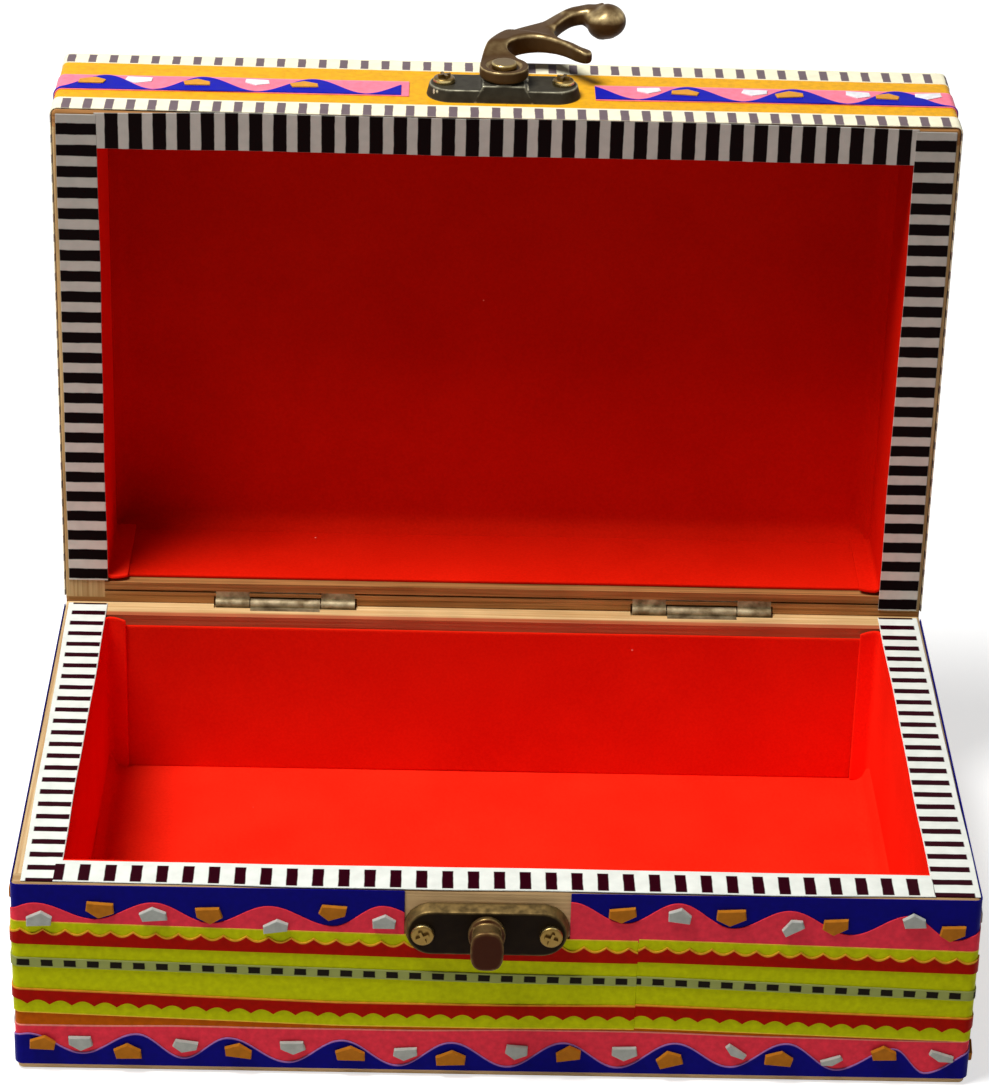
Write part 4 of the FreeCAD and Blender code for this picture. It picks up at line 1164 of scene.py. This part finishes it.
on_jaw = eased(x, 1, 15) * eased(y, 16.5, 13.5) * (1 - on_knob)
arched += THIN * on_jaw * eased(high, 6.4, 3.8)  # its underside alone
arched += on_knob * (KNOB_SQUASH - 1) * (high - KNOB_AT)
points[:, 2] = worn + (arched - worn) * past_ring
from_post = np.hypot(x - POST_AT[0], y - POST_AT[1])
swell = SWELL * past_ring * eased(from_post, 4, 5.5)
points += swell[:, None] * outward
hook.data.vertices.foreach_set("co", points.ravel())
set_on(hook, on_hook_plate)
# Painted highlight: on the hook, rubbed brass is painted along the band where the arm's top rounds over into
# its flanks, partly wear and partly the highlight of the light above; the top keeps a dark olive patina.
hook_brass = antique_brass("antique_brass_hook", "#432B13", "#D8BE88", 0.42, (0, 0, 1), ridge_highlight=True)
finished(hook, "hook", "swing_hook", "antique_brass", hook_brass)


# Hinges: two small butt hinges of pressed steel, their leaves pushed into saw kerfs in the two rims.
# Dull nickel plating, scratched along the leaves and a little tarnished.
def nickel_plate():
    """Nickel on pressed steel: yellowish grey metal with fine drawn scratches and patches of tarnish."""
    finish = new_finish("dull_nickel_plate")
    tree = finish.node_tree
    place = add_node(tree, "TexCoord").outputs["Object"]
    per_axis = [1 / (length * MM) for length in (3, 0.15, 0.15)]
    stretched = add_node(tree, "Mapping", {"Vector": place, "Scale": per_axis})
    scratch = add_node(tree, "TexNoise", {"Vector": stretched, "Scale": 1.0, "Detail": 4.0})
    tarnish = add_node(tree, "TexNoise", {"Vector": place, "Scale": 1 / (2 * MM), "Detail": 4.0})
    spread = add_node(tree, "MapRange", {"Value": tarnish, "From Min": 0.35, "From Max": 0.68})
    tint = {0: spread, 6: linear("#6E5E44"), 7: linear("#A89A7C")}
    metal = add_node(tree, "Mix", tint, data_type="RGBA")
    rough = add_node(tree, "MapRange", {"Value": scratch, "To Min": 0.5, "To Max": 0.75})
    bump = add_node(tree, "Bump", {"Height": scratch, "Strength": 0.3, "Distance": 0.05 * MM})
    inputs = {"Base Color": metal, "Metallic": 1.0, "Roughness": rough, "Normal": bump}
    shader = add_node(tree, "BsdfPrincipled", inputs)
    add_node(tree, "OutputMaterial", {"Surface": shader})
    return finish


nickel = nickel_plate()
for side in ("left", "right"):
    dress(nickel, f"{side}_hinge_base_leaf", f"{side}_hinge_lid_leaf", f"{side}_hinge_pin")


# Floor and light: a wide pale table top under one large soft lamp overhead and a faint white sky.
# The table and the sky are white to the eye, and dimmer to the light that they throw on the box.
TABLE_SIZE = 6.0  # m along each side
TABLE_LIFT = 0.66  # how much whiter the table is to the eye
FAR_FROM, FAR_TO = 0.4, 1.6  # the table grows to full white between these distances, so that no edge shows
SKY_FILL = 0.05  # how strong the sky is where it only throws light
LAMP_AT = Vector((-0.34, -0.13, 0.92))  # m, overhead and a little to the left and the front
LAMP_SIZE, LAMP_POWER = 0.42, 10.6  # m across, and watts


def seen_or_mirrored(tree):
    """One where a surface is seen by the eye or in a mirror, nought where it only throws light."""
    path = add_node(tree, "LightPath")
    seen = path.outputs["Is Camera Ray"]
    for ray in ("Is Glossy Ray", "Is Transmission Ray"):
        seen = add_node(tree, "Math", {0: seen, 1: path.outputs[ray]}, operation="MAXIMUM")
    return seen


bpy.ops.mesh.primitive_grid_add(x_subdivisions=4, y_subdivisions=4, size=TABLE_SIZE, location=(0, 0, 0))
table = bpy.context.object
table.name = "table"
paper = new_finish("white_paper_table")
shown = seen_or_mirrored(paper.node_tree)
matt = add_node(paper.node_tree, "BsdfDiffuse", {"Color": linear("#E2E2E0")})
place = add_node(paper.node_tree, "TexCoord").outputs["Object"]
distance = add_node(paper.node_tree, "VectorMath", {0: place}, operation="LENGTH")
white = {"Value": distance, "From Min": FAR_FROM, "From Max": FAR_TO, "To Min": TABLE_LIFT, "To Max": 1.0}
white = add_node(paper.node_tree, "MapRange", white)
lift = add_node(paper.node_tree, "Math", {0: shown, 1: white}, operation="MULTIPLY")
glow = add_node(paper.node_tree, "Emission", {"Color": (1, 1, 1, 1), "Strength": lift})
both = add_node(paper.node_tree, "AddShader", {0: matt, 1: glow})
add_node(paper.node_tree, "OutputMaterial", {"Surface": both})
table.data.materials.append(paper)

sky = bpy.data.worlds.new("white_studio")
bpy.context.scene.world = sky
sky.use_nodes = True
sky.node_tree.nodes.clear()
spans = {"Value": seen_or_mirrored(sky.node_tree), "To Min": SKY_FILL, "To Max": 1.0}
strength = add_node(sky.node_tree, "MapRange", spans)
glow = add_node(sky.node_tree, "Background", {"Color": (1, 1, 1, 1), "Strength": strength})
add_node(sky.node_tree, "OutputWorld", {"Surface": glow})

bpy.ops.object.light_add(type="AREA", location=LAMP_AT)
lamp = bpy.context.object
lamp.name = "overhead_lamp"
lamp.data.shape, lamp.data.size = "DISK", LAMP_SIZE
lamp.data.energy = LAMP_POWER
lamp.rotation_euler = LAMP_AT.to_track_quat("Z", "Y").to_euler()


# Camera: a long lens a little above and in front of the box, set to the photograph's frame.
# It looks down at the open box, and it is turned aside and rolled by a degree or two.
YAW, PITCH, ROLL = (math.radians(degrees) for degrees in (1.139, 27.510, 1.615))
EYE = Vector((-12.536, -574.991, 374.580)) * MM
FOCAL_PIXELS, LONG_SIDE_PIXELS, SENSOR = 3778.09, 1091, 36.0
ahead = Vector((math.sin(YAW) * math.cos(PITCH), math.cos(YAW) * math.cos(PITCH), -math.sin(PITCH)))
right = Vector((math.cos(YAW), -math.sin(YAW), 0))
above = right.cross(ahead)
camera_x = math.cos(ROLL) * right + math.sin(ROLL) * above
camera_y = math.cos(ROLL) * above - math.sin(ROLL) * right
bpy.ops.object.camera_add()
camera = bpy.context.object
camera.matrix_world = Matrix.Translation(EYE) @ Matrix((camera_x, camera_y, -ahead)).transposed().to_4x4()
camera.data.sensor_width = SENSOR
camera.data.lens = FOCAL_PIXELS * SENSOR / LONG_SIDE_PIXELS
bpy.context.scene.camera = camera
bpy.context.scene.view_settings.view_transform = "Standard"
